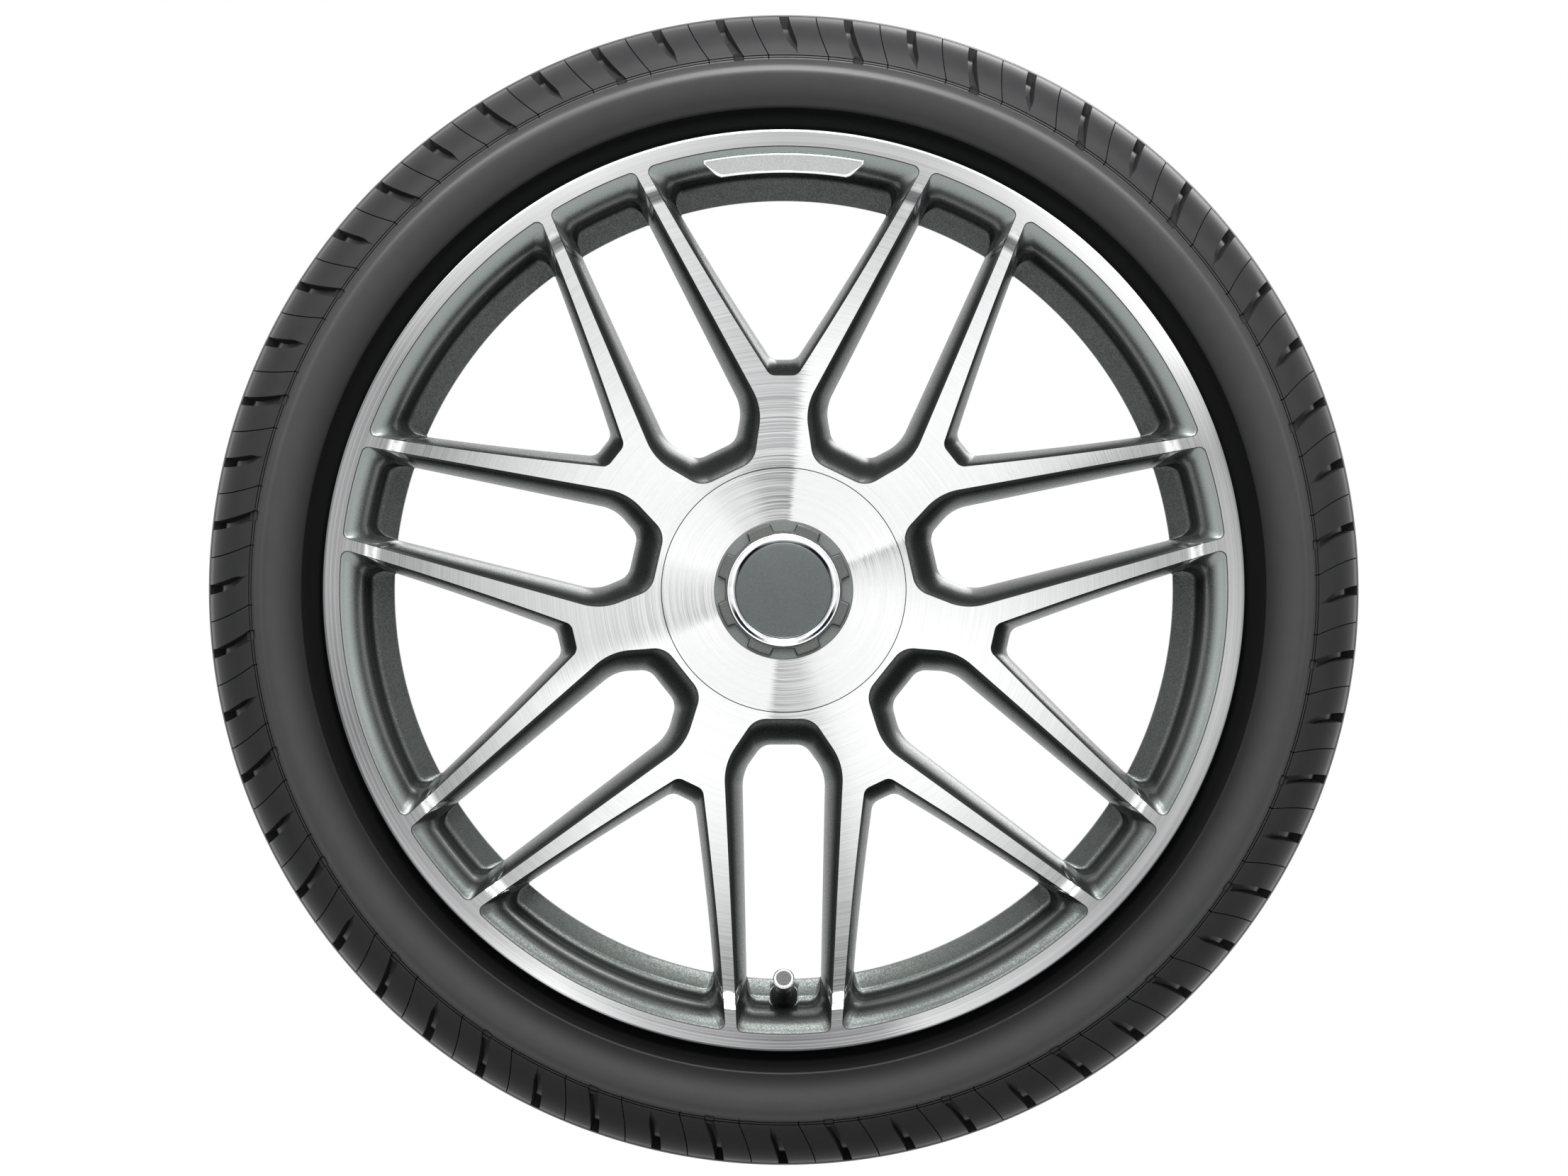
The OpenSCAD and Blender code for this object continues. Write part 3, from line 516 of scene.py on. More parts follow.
def painted_reflection_fans(stops):
    """Painted reflection shades around the wheel, from its left by way of its bottom, right and top."""
    made = wire(lathe_lines_and_painted_light, "ValToRGB", {0: swing})
    for stop, shade in stops[1:-1]:
        made.color_ramp.elements.new(stop).color = (shade, shade, shade, 1)
    for k in (0, -1):
        made.color_ramp.elements[k].color = (stops[k][1], stops[k][1], stops[k][1], 1)
    return made.outputs[0]


# At the hub four painted reflection fans have one sharp edge each, at about 200, 266, 23 and 85 degrees
hub_painted_reflections = painted_reflection_fans([
    (0.0, 0.36), (0.045, 0.45), (0.056, 0.3), (0.066, 0.0), (0.228, 0.0), (0.238, 0.5), (0.28, 0.4),
    (0.31, 0.1), (0.34, 0.0), (0.45, 0.0), (0.5, 0.12), (0.54, 0.3), (0.56, 0.5), (0.566, 0.0),
    (0.733, 0.0), (0.739, 0.62), (0.78, 0.55), (0.81, 0.28), (0.84, 0.2), (0.87, 0.02), (0.95, 0.0),
    (0.97, 0.2), (1.0, 0.36),
])
# Towards the rim the painted greys spread, and only a few bright painted reflection fans are left
rim_painted_reflections = painted_reflection_fans([
    (0.0, 0.8), (0.05, 0.95), (0.13, 0.7), (0.165, 0.2), (0.2, 0.7), (0.25, 1.0), (0.285, 0.9),
    (0.3, 0.5), (0.38, 0.8), (0.47, 0.62), (0.55, 0.8), (0.575, 0.45), (0.59, 0.05), (0.635, 0.05),
    (0.7, 0.55), (0.75, 0.6), (0.82, 0.25), (0.87, 0.45), (0.92, 0.85), (1.0, 0.8),
])
outward = maths(lathe_lines_and_painted_light, "POWER", stretched(radius, 0.11, 0.228), 1.4)
grey = wire(lathe_lines_and_painted_light, "Mix", {VALUE_A: hub_painted_reflections, VALUE_B: rim_painted_reflections}, data_type="FLOAT")
lathe_lines_and_painted_light.links.new(outward, grey.inputs[0])
grey = stretched(grey.outputs[0], 0.0, 1.0, 0.0, 0.86)
coarse, fine = line_noise(1100, 0.7, 5.0), line_noise(2600, 0.5, 2.0)
# The lines stand out at the hub and are faint on the arms
near_hub = stretched(radius, 0.15, 0.075, 0.14, 0.55)
streak = times(lathe_lines_and_painted_light, stretched(coarse, 0.33, 0.66, -1.0, 1.0), near_hub)
streak = plus(lathe_lines_and_painted_light, streak, 1.0)
haze = stretched(fine, 0.35, 0.65, -0.03, 0.05)
tone = plus(lathe_lines_and_painted_light, times(lathe_lines_and_painted_light, grey, streak), haze)
# A painted highlight makes the bend bright all round, and painted shade darkens its top, where it faces the
# floor
bend = stretched(radius, 0.2395, 0.2425)
bend = times(lathe_lines_and_painted_light, bend, stretched(radius, 0.2505, 0.2475))
painted_top_shade = stretched(head.outputs[2], 0.5, 0.85, 0.05, 0.9)
painted_top_shade = plus(lathe_lines_and_painted_light, painted_top_shade, stretched(coarse, 0.35, 0.65, 0.0, 0.12))
mixed = wire(lathe_lines_and_painted_light, "Mix", {0: bend, VALUE_A: tone, VALUE_B: painted_top_shade}, data_type="FLOAT")
# Painted shade makes the rounded front lip darker than the flat band
painted_lip_shade = stretched(radius, 0.2716, 0.2732, 0.0, 0.6)
tone = plus(lathe_lines_and_painted_light, mixed.outputs[0], painted_lip_shade)
lathe_lines_and_painted_light.links.new(maths(lathe_lines_and_painted_light, "MAXIMUM", tone, 0.0), lathe_out.inputs["Tone"])
lathe_lines_and_painted_light.links.new(times(lathe_lines_and_painted_light, coarse, 0.2), lathe_out.inputs["Rough"])
lathe_lines_and_painted_light.links.new(fine, lathe_out.inputs["Height"])
print("lathe lines and painted light:", len(lathe_lines_and_painted_light.nodes), "nodes")

# %% Group: flakes of metallic paint
paint_flakes, flakes_in, flakes_out = new_group(
    "paint flakes", {"Size": 3200.0}, ["Tone", "Rough"]
)
place = wire(paint_flakes, "TexCoord").outputs["Object"]
flake = wire(
    paint_flakes, "TexVoronoi", {"Vector": place, "Scale": flakes_in.outputs["Size"]}, feature="F1"
)
cloud = wire(paint_flakes, "TexNoise", {"Vector": place, "Scale": 60.0, "Detail": 3.0}).outputs[0]
speck = wire(paint_flakes, "SeparateColor", {0: flake.outputs["Color"]}).outputs[0]
sparkle = times(paint_flakes, speck, 0.75)
sparkle = plus(paint_flakes, sparkle, times(paint_flakes, cloud, 0.25))
paint_flakes.links.new(sparkle, flakes_out.inputs["Tone"])
paint_flakes.links.new(times(paint_flakes, speck, 0.12), flakes_out.inputs["Rough"])

# %% Group: place about the axle
axle_place, _, axle_out = new_group("place about the axle", {}, ["Radius", "Side", "Up", "Front"])
parts = wire(axle_place, "SeparateXYZ", {0: wire(axle_place, "TexCoord").outputs["Object"]})
flat = wire(axle_place, "CombineXYZ", {0: parts.outputs[0], 2: parts.outputs[2]}).outputs[0]
away = wire(axle_place, "VectorMath", {0: flat}, operation="LENGTH").outputs["Value"]
axle_place.links.new(away, axle_out.inputs["Radius"])
side = maths(axle_place, "ABSOLUTE", maths(axle_place, "DIVIDE", parts.outputs[0], away))
axle_place.links.new(side, axle_out.inputs["Side"])
axle_place.links.new(maths(axle_place, "DIVIDE", parts.outputs[2], away), axle_out.inputs["Up"])
axle_place.links.new(times(axle_place, parts.outputs[1], -1.0), axle_out.inputs["Front"])

# %% Group: dry bloom on rubber
rubber_bloom, bloom_in, bloom_out = new_group(
    "rubber bloom", {"Size": 90.0}, ["Tone", "Height"]
)
place = wire(rubber_bloom, "TexCoord").outputs["Object"]
patches = wire(rubber_bloom, "TexNoise", {"Vector": place, "Scale": bloom_in.outputs["Size"], "Detail": 5.0})
skin_grain = wire(rubber_bloom, "TexNoise", {"Vector": place, "Scale": 1800.0, "Detail": 2.0})
rubber_bloom.links.new(patches.outputs[0], bloom_out.inputs["Tone"])
rubber_bloom.links.new(skin_grain.outputs[0], bloom_out.inputs["Height"])
print("groups:", [g.name for g in bpy.data.node_groups])

# %% [markdown]
# ## The finishes
#
# The face is bare aluminium under clear lacquer, turned on a lathe: bright, with fans of fine grey
# lines painted into its colour as reflections, where the tool marks would catch less light. The
# pockets keep their dark grey metallic paint.
# Where the tool cuts through the paint, its edge carries a thin dark line of painted shade.


# %% Finishes of the wheel
def colour_mix(tree, tone, light, dark):
    links = {"Factor": tone, COLOUR_A: (*light, 1), COLOUR_B: (*dark, 1)}
    return wire(tree, "Mix", links, data_type="RGBA").outputs[2]


def tint(tree, shader, tone, light, dark, socket="Base Color"):
    """Lets a tone mix two colours into a socket of the shader."""
    tree.links.new(colour_mix(tree, tone, light, dark), shader.inputs[socket])


def turned_finish(name):
    """Lathe-turned aluminium under clear lacquer."""
    finish, tree, shader = new_finish(name, (0.9, 0.905, 0.91), 1.0, 0.3, Anisotropic=0.5)
    marks_and_painted_light = use_group(tree, lathe_lines_and_painted_light)
    # The tone mixes the lathe lines with painted reflections, a painted bend highlight and painted shade
    tint(tree, shader, marks_and_painted_light.outputs["Tone"], (0.95, 0.953, 0.956), (0.12, 0.122, 0.125))
    rough = plus(tree, marks_and_painted_light.outputs["Rough"], 0.12)
    tree.links.new(rough, shader.inputs["Roughness"])
    tangent = wire(tree, "Tangent", direction_type="RADIAL", axis="Y")
    tree.links.new(tangent.outputs[0], shader.inputs["Tangent"])
    bump(tree, shader, marks_and_painted_light.outputs["Height"], 0.12, 0.0002)
    return finish


def painted_finish(name, light, dark, metallic, roughness, flake_size=3200.0, **values):
    """Metallic paint with flakes."""
    finish, tree, shader = new_finish(name, light, metallic, roughness, **values)
    flakes = use_group(tree, paint_flakes, Size=flake_size)
    tint(tree, shader, flakes.outputs["Tone"], light, dark)
    rough = plus(tree, flakes.outputs["Rough"], roughness)
    tree.links.new(rough, shader.inputs["Roughness"])
    return finish


turned_alloy = turned_finish("turned alloy")
pocket_paint = painted_finish(
    "pocket paint", (0.082, 0.09, 0.086), (0.03, 0.034, 0.032), 0.8, 0.25, 1700.0,
    Coat_Weight=0.15, Coat_Roughness=0.1,
)
# Close under the face the pocket's wall rolls outwards, and a painted highlight makes the paint far
# lighter there. The painted highlight fades towards the lowest pockets, which the lamps above the
# wheel light anyway.
paint_tree = pocket_paint.node_tree
paint_shader = paint_tree.nodes["Principled BSDF"]
paint_colour = paint_shader.inputs["Base Color"].links[0].from_socket
spot = use_group(paint_tree, axle_place)
painted_wall_highlight = between(paint_tree, spot.outputs["Front"], 0.106, 0.1185)
painted_wall_highlight = times(paint_tree, painted_wall_highlight, between(paint_tree, spot.outputs["Up"], -0.9, 0.0))
# The pale grey-green is the colour of the painted highlight
links = {0: painted_wall_highlight, COLOUR_A: paint_colour, COLOUR_B: (0.25, 0.272, 0.263, 1)}
blend = wire(paint_tree, "Mix", links, data_type="RGBA")
paint_tree.links.new(blend.outputs[2], paint_shader.inputs["Base Color"])
# A near-black finish paints shade as a thin line along the cut edge of the paint
painted_edge_shade = painted_finish("painted shade line at the cut edge", (0.03, 0.032, 0.032), (0.015, 0.016, 0.016), 0.2, 0.5)
print("finishes:", len(bpy.data.materials))

# %% [markdown]
# ## The wheel
#
# The real wheel is one forging. The piece is built as one closed skin too: the turned face is a
# region with fourteen holes, each pocket's wall is a stack of bands, the rim is a lathe profile,
# and the hub has its recess, its bore and five bolt holes with ball seats.

# %% Rim profile outside the face, from the front lip to the barrel's inner wall
SEAT_W, SEAT_DROP, HUMP = 20.0, 20.0 * math.tan(math.radians(5)), 1.43
bead = [
    *arc(FLANGE_R - 5, HALF_WIDTH + 5, 5, 0, -90, 8),
    *arc(SEAT_R + 4, HALF_WIDTH - 4, 4, 90, 180, 6),
    (SEAT_R - SEAT_DROP, HALF_WIDTH - SEAT_W),
    *curve(
        [
            (SEAT_R - SEAT_DROP, HALF_WIDTH - SEAT_W - 0.5),
            (SEAT_R - SEAT_DROP + HUMP, HALF_WIDTH - SEAT_W - 1.5),
            (SEAT_R - SEAT_DROP + HUMP, HALF_WIDTH - SEAT_W - 3.5),
            (SEAT_R - SEAT_DROP - 0.4, HALF_WIDTH - SEAT_W - 5),
        ],
        6,
    ),
]
WELL_R, BODY_OUT, BODY_IN, WALL = 236.2, 248.4, 242.4, 6.0
front_lip = arc(FLANGE_R - 2.2, FRONT_Z - 2.2, 2.2, 90, 0, 5)
rim_profile = [
    *front_lip,
    *bead,
    (SEAT_R - SEAT_DROP - 4.5, HALF_WIDTH - 28.5),
    (WELL_R + 2, HALF_WIDTH - 32),
    (WELL_R, HALF_WIDTH - 35),
    (WELL_R, 26),
    (BODY_OUT, 2),
    (BODY_OUT, -HALF_WIDTH + 42),
    *[(r, -z) for r, z in reversed(bead)],
    *arc(FLANGE_R - 3, BACK_Z + 3, 3, 0, -90, 5),
    (SEAT_R - WALL + 2, BACK_Z),
    (SEAT_R - WALL, -HALF_WIDTH + 2),
    (SEAT_R - SEAT_DROP - WALL, -HALF_WIDTH + 25),
    (BODY_IN, -HALF_WIDTH + 42),
    (BODY_IN, 2),
    (BARREL_IN + 0.4, 26),
    (BARREL_IN + 0.4, SPOKE_BACK_RIM),
]

# %% Seeds: points that let the dished face and the bend stay smooth
seed_radii = [*np.arange(77, 239, 4.5), *np.arange(241.5, 252, 1.5), 255.5, 259.5]
seeds = []
for k, r in enumerate(seed_radii):
    count = int(2 * math.pi * r / 4.8)
    seeds += [p[:2] for p in ring(r, 0, count, start=0.5 * k)]

# %% The wheel's skin
wheel_skin = Skin()
outer_edge = ring(front_lip[0][0], FRONT_Z)
cover_edge = ring(COVER_R + SEAM, HUB_Z, HUB_STEPS)
# The pockets and the cover's edge are holes in the face
wheel_skin.region([outer_edge, cover_edge, *[p[0] for p in pockets]], face_height, 0, seeds)
for loops in pockets:
    # Each pocket's first band, just under the face, carries the painted shade line
    wheel_skin.band(loops[0], loops[1], 2)
    wheel_skin.bands(loops[1:], 1)
rim_loops = rings(rim_profile, RIM_STEPS)
wheel_skin.bands(rim_loops[: len(front_lip)], 0)
wheel_skin.bands(rim_loops[len(front_lip) - 1 :], 1)
back_edge = ring(PAD_R + 2, SPOKE_BACK_HUB, HUB_STEPS)
back_seeds = [p for p in seeds if 82 < math.hypot(*p) < 228]
wheel_skin.region([rim_loops[-1], back_edge, *[p[-1] for p in pockets]], back_height, 1, back_seeds)

# %% The hub's recess, bore and bolt holes
BOLT_RADIUS, HOLE_R, BALL_R, BALL_Z, ACCESS_R, BORE_R = 56.0, 7.5, 14.0, 53.82, 14.4, 33.3
BOLTS, COLLAR_BORE_R, COLLAR_Z, CHAMFER, PAD_ROUND = 5, 30.3, 53, 1.5, 2


def bolt_ring(i, r, z, n=48):
    a = math.radians(90 + 360 / BOLTS * i)
    return [(x + BOLT_RADIUS * math.cos(a), y + BOLT_RADIUS * math.sin(a), z) for x, y, _ in ring(r, z, n)]


floor_edge = ring(RECESS_R, RECESS_Z, HUB_STEPS)
wheel_skin.band(cover_edge, floor_edge, 1)
bore = [(COLLAR_BORE_R, RECESS_Z), (COLLAR_BORE_R, COLLAR_Z), (BORE_R, COLLAR_Z)]
bore = rings([*bore, (BORE_R, MOUNT_Z + CHAMFER), (BORE_R + CHAMFER, MOUNT_Z)], BORE_STEPS)
wheel_skin.bands(bore, 1)
access, through = [], []
for i in range(BOLTS):
    seat = [bolt_ring(i, ACCESS_R, RECESS_Z), bolt_ring(i, ACCESS_R, BALL_Z)]
    for t in np.linspace(0, 1, 8):
        depth = t * math.sqrt(BALL_R**2 - HOLE_R**2)
        seat.append(bolt_ring(i, math.sqrt(BALL_R**2 - depth**2), BALL_Z - depth))
    seat.append(bolt_ring(i, HOLE_R, MOUNT_Z))
    wheel_skin.bands(seat, 1)
    access.append(seat[0])
    through.append(seat[-1])
wheel_skin.region([floor_edge, bore[0], *access], lambda r: RECESS_Z, 1)
mount = [(PAD_R - PAD_ROUND, MOUNT_Z), (PAD_R, MOUNT_Z + PAD_ROUND), (PAD_R, SPOKE_BACK_HUB - PAD_ROUND)]
mount = rings(mount)
wheel_skin.region([mount[0], bore[-1], *through], lambda r: MOUNT_Z, 1)
wheel_skin.bands([*mount, back_edge], 1)
wheel = wheel_skin.piece("wheel_forging", [turned_alloy, pocket_paint, painted_edge_shade], 30)
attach(wheel, "wheel")
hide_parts("alloy_wheel")

# %% [markdown]
# ## The valve's seat
#
# The valve leans towards the axle, so the forging has a round spot face for it in the wall of the
# lowest slot, with a hole through. Both are cut from the finished skin with a Boolean modifier,
# which is applied at once.

# %% Cut the spot face and the valve hole
VALVE_R, VALVE_Z, VALVE_LEAN = 240.7, 84.05, 18.0
SPOT_R, VALVE_HOLE_R, SEAT_WALL, SEAT_STEPS = 9.1, 5.65, 4, 64
LEAN_COS, LEAN_SIN = math.cos(math.radians(-VALVE_LEAN)), math.sin(math.radians(-VALVE_LEAN))


def on_valve(loop):
    """A loop drawn about the valve's own axis, put where the valve stands."""
    c, s = LEAN_COS, LEAN_SIN
    return [(x, y * c - h * s - VALVE_R, y * s + h * c + VALVE_Z) for x, y, h in loop]


def cut(piece, loops, name):
    """Cuts a closed stack of loops out of a piece."""
    tool = Skin()
    tool.bands(loops)
    tool.face(loops[0])
    tool.face(loops[-1])
    cutter = tool.piece(name, [pocket_paint])
    step = piece.modifiers.new("cut", "BOOLEAN")
    step.object, step.operation, step.solver = cutter, "DIFFERENCE", "MANIFOLD"
    bpy.context.view_layer.update()
    before = len(piece.data.polygons)
    result = bpy.data.meshes.new_from_object(piece.evaluated_get(bpy.context.evaluated_depsgraph_get()))
    piece.modifiers.clear()
    piece.data = result
    result.set_sharp_from_angle(angle=math.radians(30))
    bpy.data.objects.remove(cutter)
    print(name, "faces", before, "->", len(result.polygons))


seat = [(SPOT_R, 14), (SPOT_R, 0), (VALVE_HOLE_R, 0)]
seat += [(VALVE_HOLE_R, -SEAT_WALL), (SPOT_R, -SEAT_WALL), (SPOT_R, -18)]
cut(wheel, [on_valve(loop) for loop in rings(seat, SEAT_STEPS)], "valve_seat_cutter")

# %% [markdown]
# ## The bare pad
#
# A small trapezoid pad stands on the outer wall of the top window. It is left bare: a satin metal
# face inside a thin bright border.

# %% Pad on the top window's outer wall
pad_metal = painted_finish("satin pad", (0.55, 0.56, 0.56), (0.36, 0.37, 0.37), 1.0, 0.36, 2600.0)
pad_border = painted_finish("bright border", (0.9, 0.9, 0.9), (0.75, 0.76, 0.76), 1.0, 0.2)
PAD_OUT, PAD_IN, PAD_OUT_DEG, PAD_IN_DEG = 258.6, 247.2, 10.6, 8.9


def pad_height(r):
    return 115.4 + (r - PAD_IN) * 0.32


def pad_outline(inset):
    """The pad's outline, with rounded ends at its inner corners."""
    outer, inner = PAD_OUT - inset, PAD_IN + inset
    lean = math.degrees(inset / 250) * 1.25
    steps = 24
    right = [(outer, PAD_OUT_DEG - lean), (outer - 1.6, PAD_OUT_DEG - lean + 0.05)]
    right += [(inner + 2.2, PAD_IN_DEG + 0.55 - lean), (inner + 0.9, PAD_IN_DEG + 0.2 - lean)]
    right += [(inner, PAD_IN_DEG - 0.25 - lean)]
    top = [(outer, d) for d in np.linspace(-PAD_OUT_DEG + lean, PAD_OUT_DEG - lean, steps)[1:-1]]
    low = [(inner, d) for d in np.linspace(PAD_IN_DEG - 0.25 - lean, -PAD_IN_DEG + 0.25 + lean, steps)[1:-1]]
    left = [(r, -d) for r, d in reversed(right)]
    outline = [(r, math.radians(d)) for r, d in [*top, *right, *low, *left]]
    return [(r * math.sin(a), r * math.cos(a)) for r, a in outline]


pad = Skin()
pad_loops = []
for inset, lift in ((0, -14), (0, 0), (0.25, 0.35), (0.9, 0.35), (1.15, -0.1)):
    pad_loops.append([(x, y, pad_height(math.hypot(x, y)) + lift) for x, y in pad_outline(inset)])
pad.band(pad_loops[0], pad_loops[1], 2)
pad.bands(pad_loops[1:], 1)
pad.region([pad_loops[-1]], pad_height, 0)
pad.region([pad_loops[0]], pad_height, 2)
bare_pad = pad.piece("bare_pad", [pad_metal, pad_border, pocket_paint])
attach(bare_pad, "wheel")

# %% [markdown]
# ## The tyre
#
# Seen square on, a tyre is mostly its sidewall and the blocks of its shoulder. The skin is one
# grid: its rows follow the profile from the crown to the bead, and its columns follow the grooves,
# so a groove's edges are crisp with few faces. Wide grooves come in two kinds, in turn: one
# narrows to a point, and the other opens into the sidewall. Between them runs a thin sipe.

# %% The tyre's profile
TYRE_R, TREAD_HALF, TYRE_HALF, TREAD_DEPTH, CROWN_DROP = 340.5, 90.0, 124.5, 7.5, 2.3
BLOCK_R, BLOCK_Z, CREST_R, GUARD_R = 317.2, 117.65, 306.0, 286.0


def tread_radius(z):
    return TYRE_R - CROWN_DROP * (abs(z) / TREAD_HALF) ** 2


def crown_rows():
    """(radius, height, groove depth) from the middle to the edge of the shoulder."""
    rows = [(TYRE_R, 0.01, 0.0)]
    for middle in (21.0, 56.0):
        for dz, drop in ((-4.5, 0), (-3.6, 1), (3.6, 1), (4.5, 0)):
            z = middle + dz
            rows.append((tread_radius(z) - drop * TREAD_DEPTH, z, 0.0))
        if middle < 50:
            rows.append((tread_radius(38), 38.0, 0.0))
    return rows


shoulder = [
    *[(tread_radius(z), z) for z in np.linspace(61, TREAD_HALF, 6)[:-1]],
    *curve(
        [
            (tread_radius(TREAD_HALF), TREAD_HALF),
            (tread_radius(TREAD_HALF) - 2, TREAD_HALF + 13),
            (BLOCK_R + 11, BLOCK_Z - 4.5),
            (BLOCK_R + 0.5, BLOCK_Z - 0.2),
        ],
        12,
    ),
]
block_end = [(BLOCK_R, BLOCK_Z - 0.1), (BLOCK_R - 0.3, BLOCK_Z - 0.8), (BLOCK_R - 0.7, BLOCK_Z + 0.3)]
block_end += [(BLOCK_R - 1.4, BLOCK_Z + 0.5), (BLOCK_R - 1.65, BLOCK_Z - 0.4), (BLOCK_R - 2.0, BLOCK_Z + 0.8)]
sidewall = [
    *curve([
        (BLOCK_R - 2.6, BLOCK_Z + 1), (BLOCK_R - 4.5, BLOCK_Z + 3.6),
        (CREST_R + 5, TYRE_HALF), (CREST_R, TYRE_HALF),
    ], 7),
    *curve([
        (CREST_R, TYRE_HALF), (CREST_R - 5, TYRE_HALF),
        (GUARD_R + 8, TYRE_HALF - 2.1), (GUARD_R + 3.5, TYRE_HALF - 1.9),
    ], 5)[1:],
    *arc(GUARD_R + 1.2, TYRE_HALF - 3.5, 1.8, 80, 170, 5),
    *curve([
        (GUARD_R - 0.9, TYRE_HALF - 5), (GUARD_R - 2.2, HALF_WIDTH + 6),
        (FLANGE_R + 3, HALF_WIDTH + 2.4), (FLANGE_R - 0.9, HALF_WIDTH + 1.6),
    ], 5),
    *arc(FLANGE_R - 5, HALF_WIDTH + 5, 5.35, -50, -90, 3),
    *arc(SEAT_R + 5, HALF_WIDTH - 5, 4.95, 90, 180, 4),
    (SEAT_R - SEAT_DROP + 0.4, HALF_WIDTH - SEAT_W + 1),
    (SEAT_R + 2, HALF_WIDTH - SEAT_W - 1),
]
cavity = curve([
    (SEAT_R + 7, HALF_WIDTH - 16), (GUARD_R + 10, HALF_WIDTH - 4),
    (BLOCK_R - 13, HALF_WIDTH + 15), (TYRE_R - 20, HALF_WIDTH - 3),
], 6)
cavity += [(TYRE_R - 14.5, TREAD_HALF - 14), (TYRE_R - 13, 0.01)]
rows = crown_rows()
first_cut = len(rows)
# Grooves are deepest over the tread and run out at the block ends
for k, (r, z) in enumerate(shoulder):
    rows.append((r, z, 6.9 if k < 10 else 6.9 - 3.9 * ((k - 9) / 8) ** 1.3))
for k, (r, z) in enumerate(block_end):
    rows.append((r, z, 2.8 - 0.42 * k))
last_cut = len(rows)
rows += [(r, z, 0.0) for r, z in [*sidewall, *cavity]]
print("rows", len(rows), "of which cut", last_cut - first_cut)

# %% Columns of one pitch, with their share of the depth
PITCHES = 28
GROOVE_TURN = 1.6
STEP = 2 * math.pi / PITCHES


def lean(r):
    """How far the grooves have turned, clockwise, on their way in."""
    return math.radians(GROOVE_TURN) * min(1.0, max(0.0, (TYRE_R - r) / (TYRE_R - BLOCK_R))) ** 1.4


def run_in(r):
    """0 on the tread, 1 at the block ends."""
    return min(1.0, max(0.0, (TYRE_R - 3 - r) / (TYRE_R - 3 - BLOCK_R)))


def pitch_columns(r, depth):
    """(angle, depth) of each column of a pitch, in order."""
    t = run_in(r)
    closed = min(1.0, max(0.0, (t - 0.55) / 0.35))
    kinds = (
        (0.0, 2.9 * (1 - closed**1.5) + 0.05, depth * (1 - closed)),
        (STEP * 0.25, 0.34, min(depth, 2.6)),
        (STEP * 0.5, 2.7 + 0.4 * t, depth),
        (STEP * 0.75, 0.34, min(depth, 2.6)),
    )
    wall = 0.55 if depth > 0 else 0.45
    made = []
    for k, (middle, half, deep) in enumerate(kinds):
        inner = max(half - wall, half * 0.3)
        sipe = ((-half, 0.0), (0.0, deep), (half, 0.0))
        groove = ((-half, 0.0), (-inner, deep), (inner, deep), (half, 0.0))
        made += [(middle + x / r, d) for x, d in (sipe if k % 2 else groove)]
        start = made[-1][0]
        after = kinds[(k + 1) % 4]
        stop = (after[0] if k < 3 else STEP) - after[1] / r
        made += [(start + (stop - start) * s, 0.0) for s in (0.33, 0.67)]
    return made


# %% The tyre's grid
def tyre_grid():
    """Points of the whole closed grid: rows down one side, through the cavity and up the other."""
    half_rows = []
    for k, (r, z, depth) in enumerate(rows):
        before, after = rows[max(k - 1, 0)], rows[min(k + 1, len(rows) - 1)]
        along = unit(vec(after[0] - before[0], after[1] - before[1]))
        inward = vec(-along[1], along[0])
        if k < first_cut:
            inward = vec(-1, 0)
        turn_by = lean(r)
        line = []
        for pitch in range(PITCHES):
            for a, deep in pitch_columns(r, depth):
                a = math.pi / 2 - (a + pitch * STEP + turn_by)
                rr, zz = r + inward[0] * deep, z + inward[1] * deep
                line.append((rr * math.cos(a), rr * math.sin(a), zz))
        half_rows.append(line)
    return half_rows


front_rows = tyre_grid()
columns = len(front_rows[0])
back_rows = [[(x, y, -z) for x, y, z in line] for line in reversed(front_rows)]
all_rows = [*front_rows[1:-1], *back_rows[1:-1]]
print("tyre grid", len(all_rows), "x", columns)

# %% The tyre as a piece
tyre_rubber, rubber_tree, rubber_shader = new_finish(
    "tyre rubber", (0.045, 0.045, 0.046), 0.0, 0.42, Specular_IOR_Level=0.12, Coat_Roughness=0.34
)
bloom = use_group(rubber_tree, rubber_bloom)
rubber_colour = colour_mix(rubber_tree, bloom.outputs["Tone"], (0.022, 0.022, 0.023), (0.032, 0.032, 0.033))
# Painted shade makes the rubber near the rim almost black, and where the sidewall bulges it has been polished
spot = use_group(rubber_tree, axle_place)
clear_of_painted_rim_shade = between(rubber_tree, spot.outputs["Radius"], 0.281, 0.305)
polished = times(rubber_tree, clear_of_painted_rim_shade, between(rubber_tree, spot.outputs["Radius"], 0.319, 0.312))
rubber_tree.links.new(times(rubber_tree, polished, 0.7), rubber_shader.inputs["Coat Weight"])
# The near-black colour is the painted shade by the rim
links = {COLOUR_A: (0.007, 0.007, 0.0075, 1), COLOUR_B: rubber_colour}
blend = wire(rubber_tree, "Mix", links, data_type="RGBA")
rubber_tree.links.new(clear_of_painted_rim_shade, blend.inputs[0])
rubber_tree.links.new(blend.outputs[2], rubber_shader.inputs["Base Color"])
bump(rubber_tree, rubber_shader, bloom.outputs["Height"], 0.15, 0.0003)
grid_points = np.array(all_rows).reshape(-1, 3)
faces = []
for i in range(len(all_rows)):
    j = (i + 1) % len(all_rows)
    for k in range(columns):
        m = (k + 1) % columns
        faces.append((i * columns + k, i * columns + m, j * columns + m, j * columns + k))
tyre_mesh = bpy.data.meshes.new("road_tyre")
tyre_mesh.from_pydata((grid_points[:, [0, 2, 1]] * [0.001, -0.001, 0.001]).tolist(), [], faces)
tyre_mesh.materials.append(tyre_rubber)
tyre = settle(tyre_mesh, "road_tyre", 34)
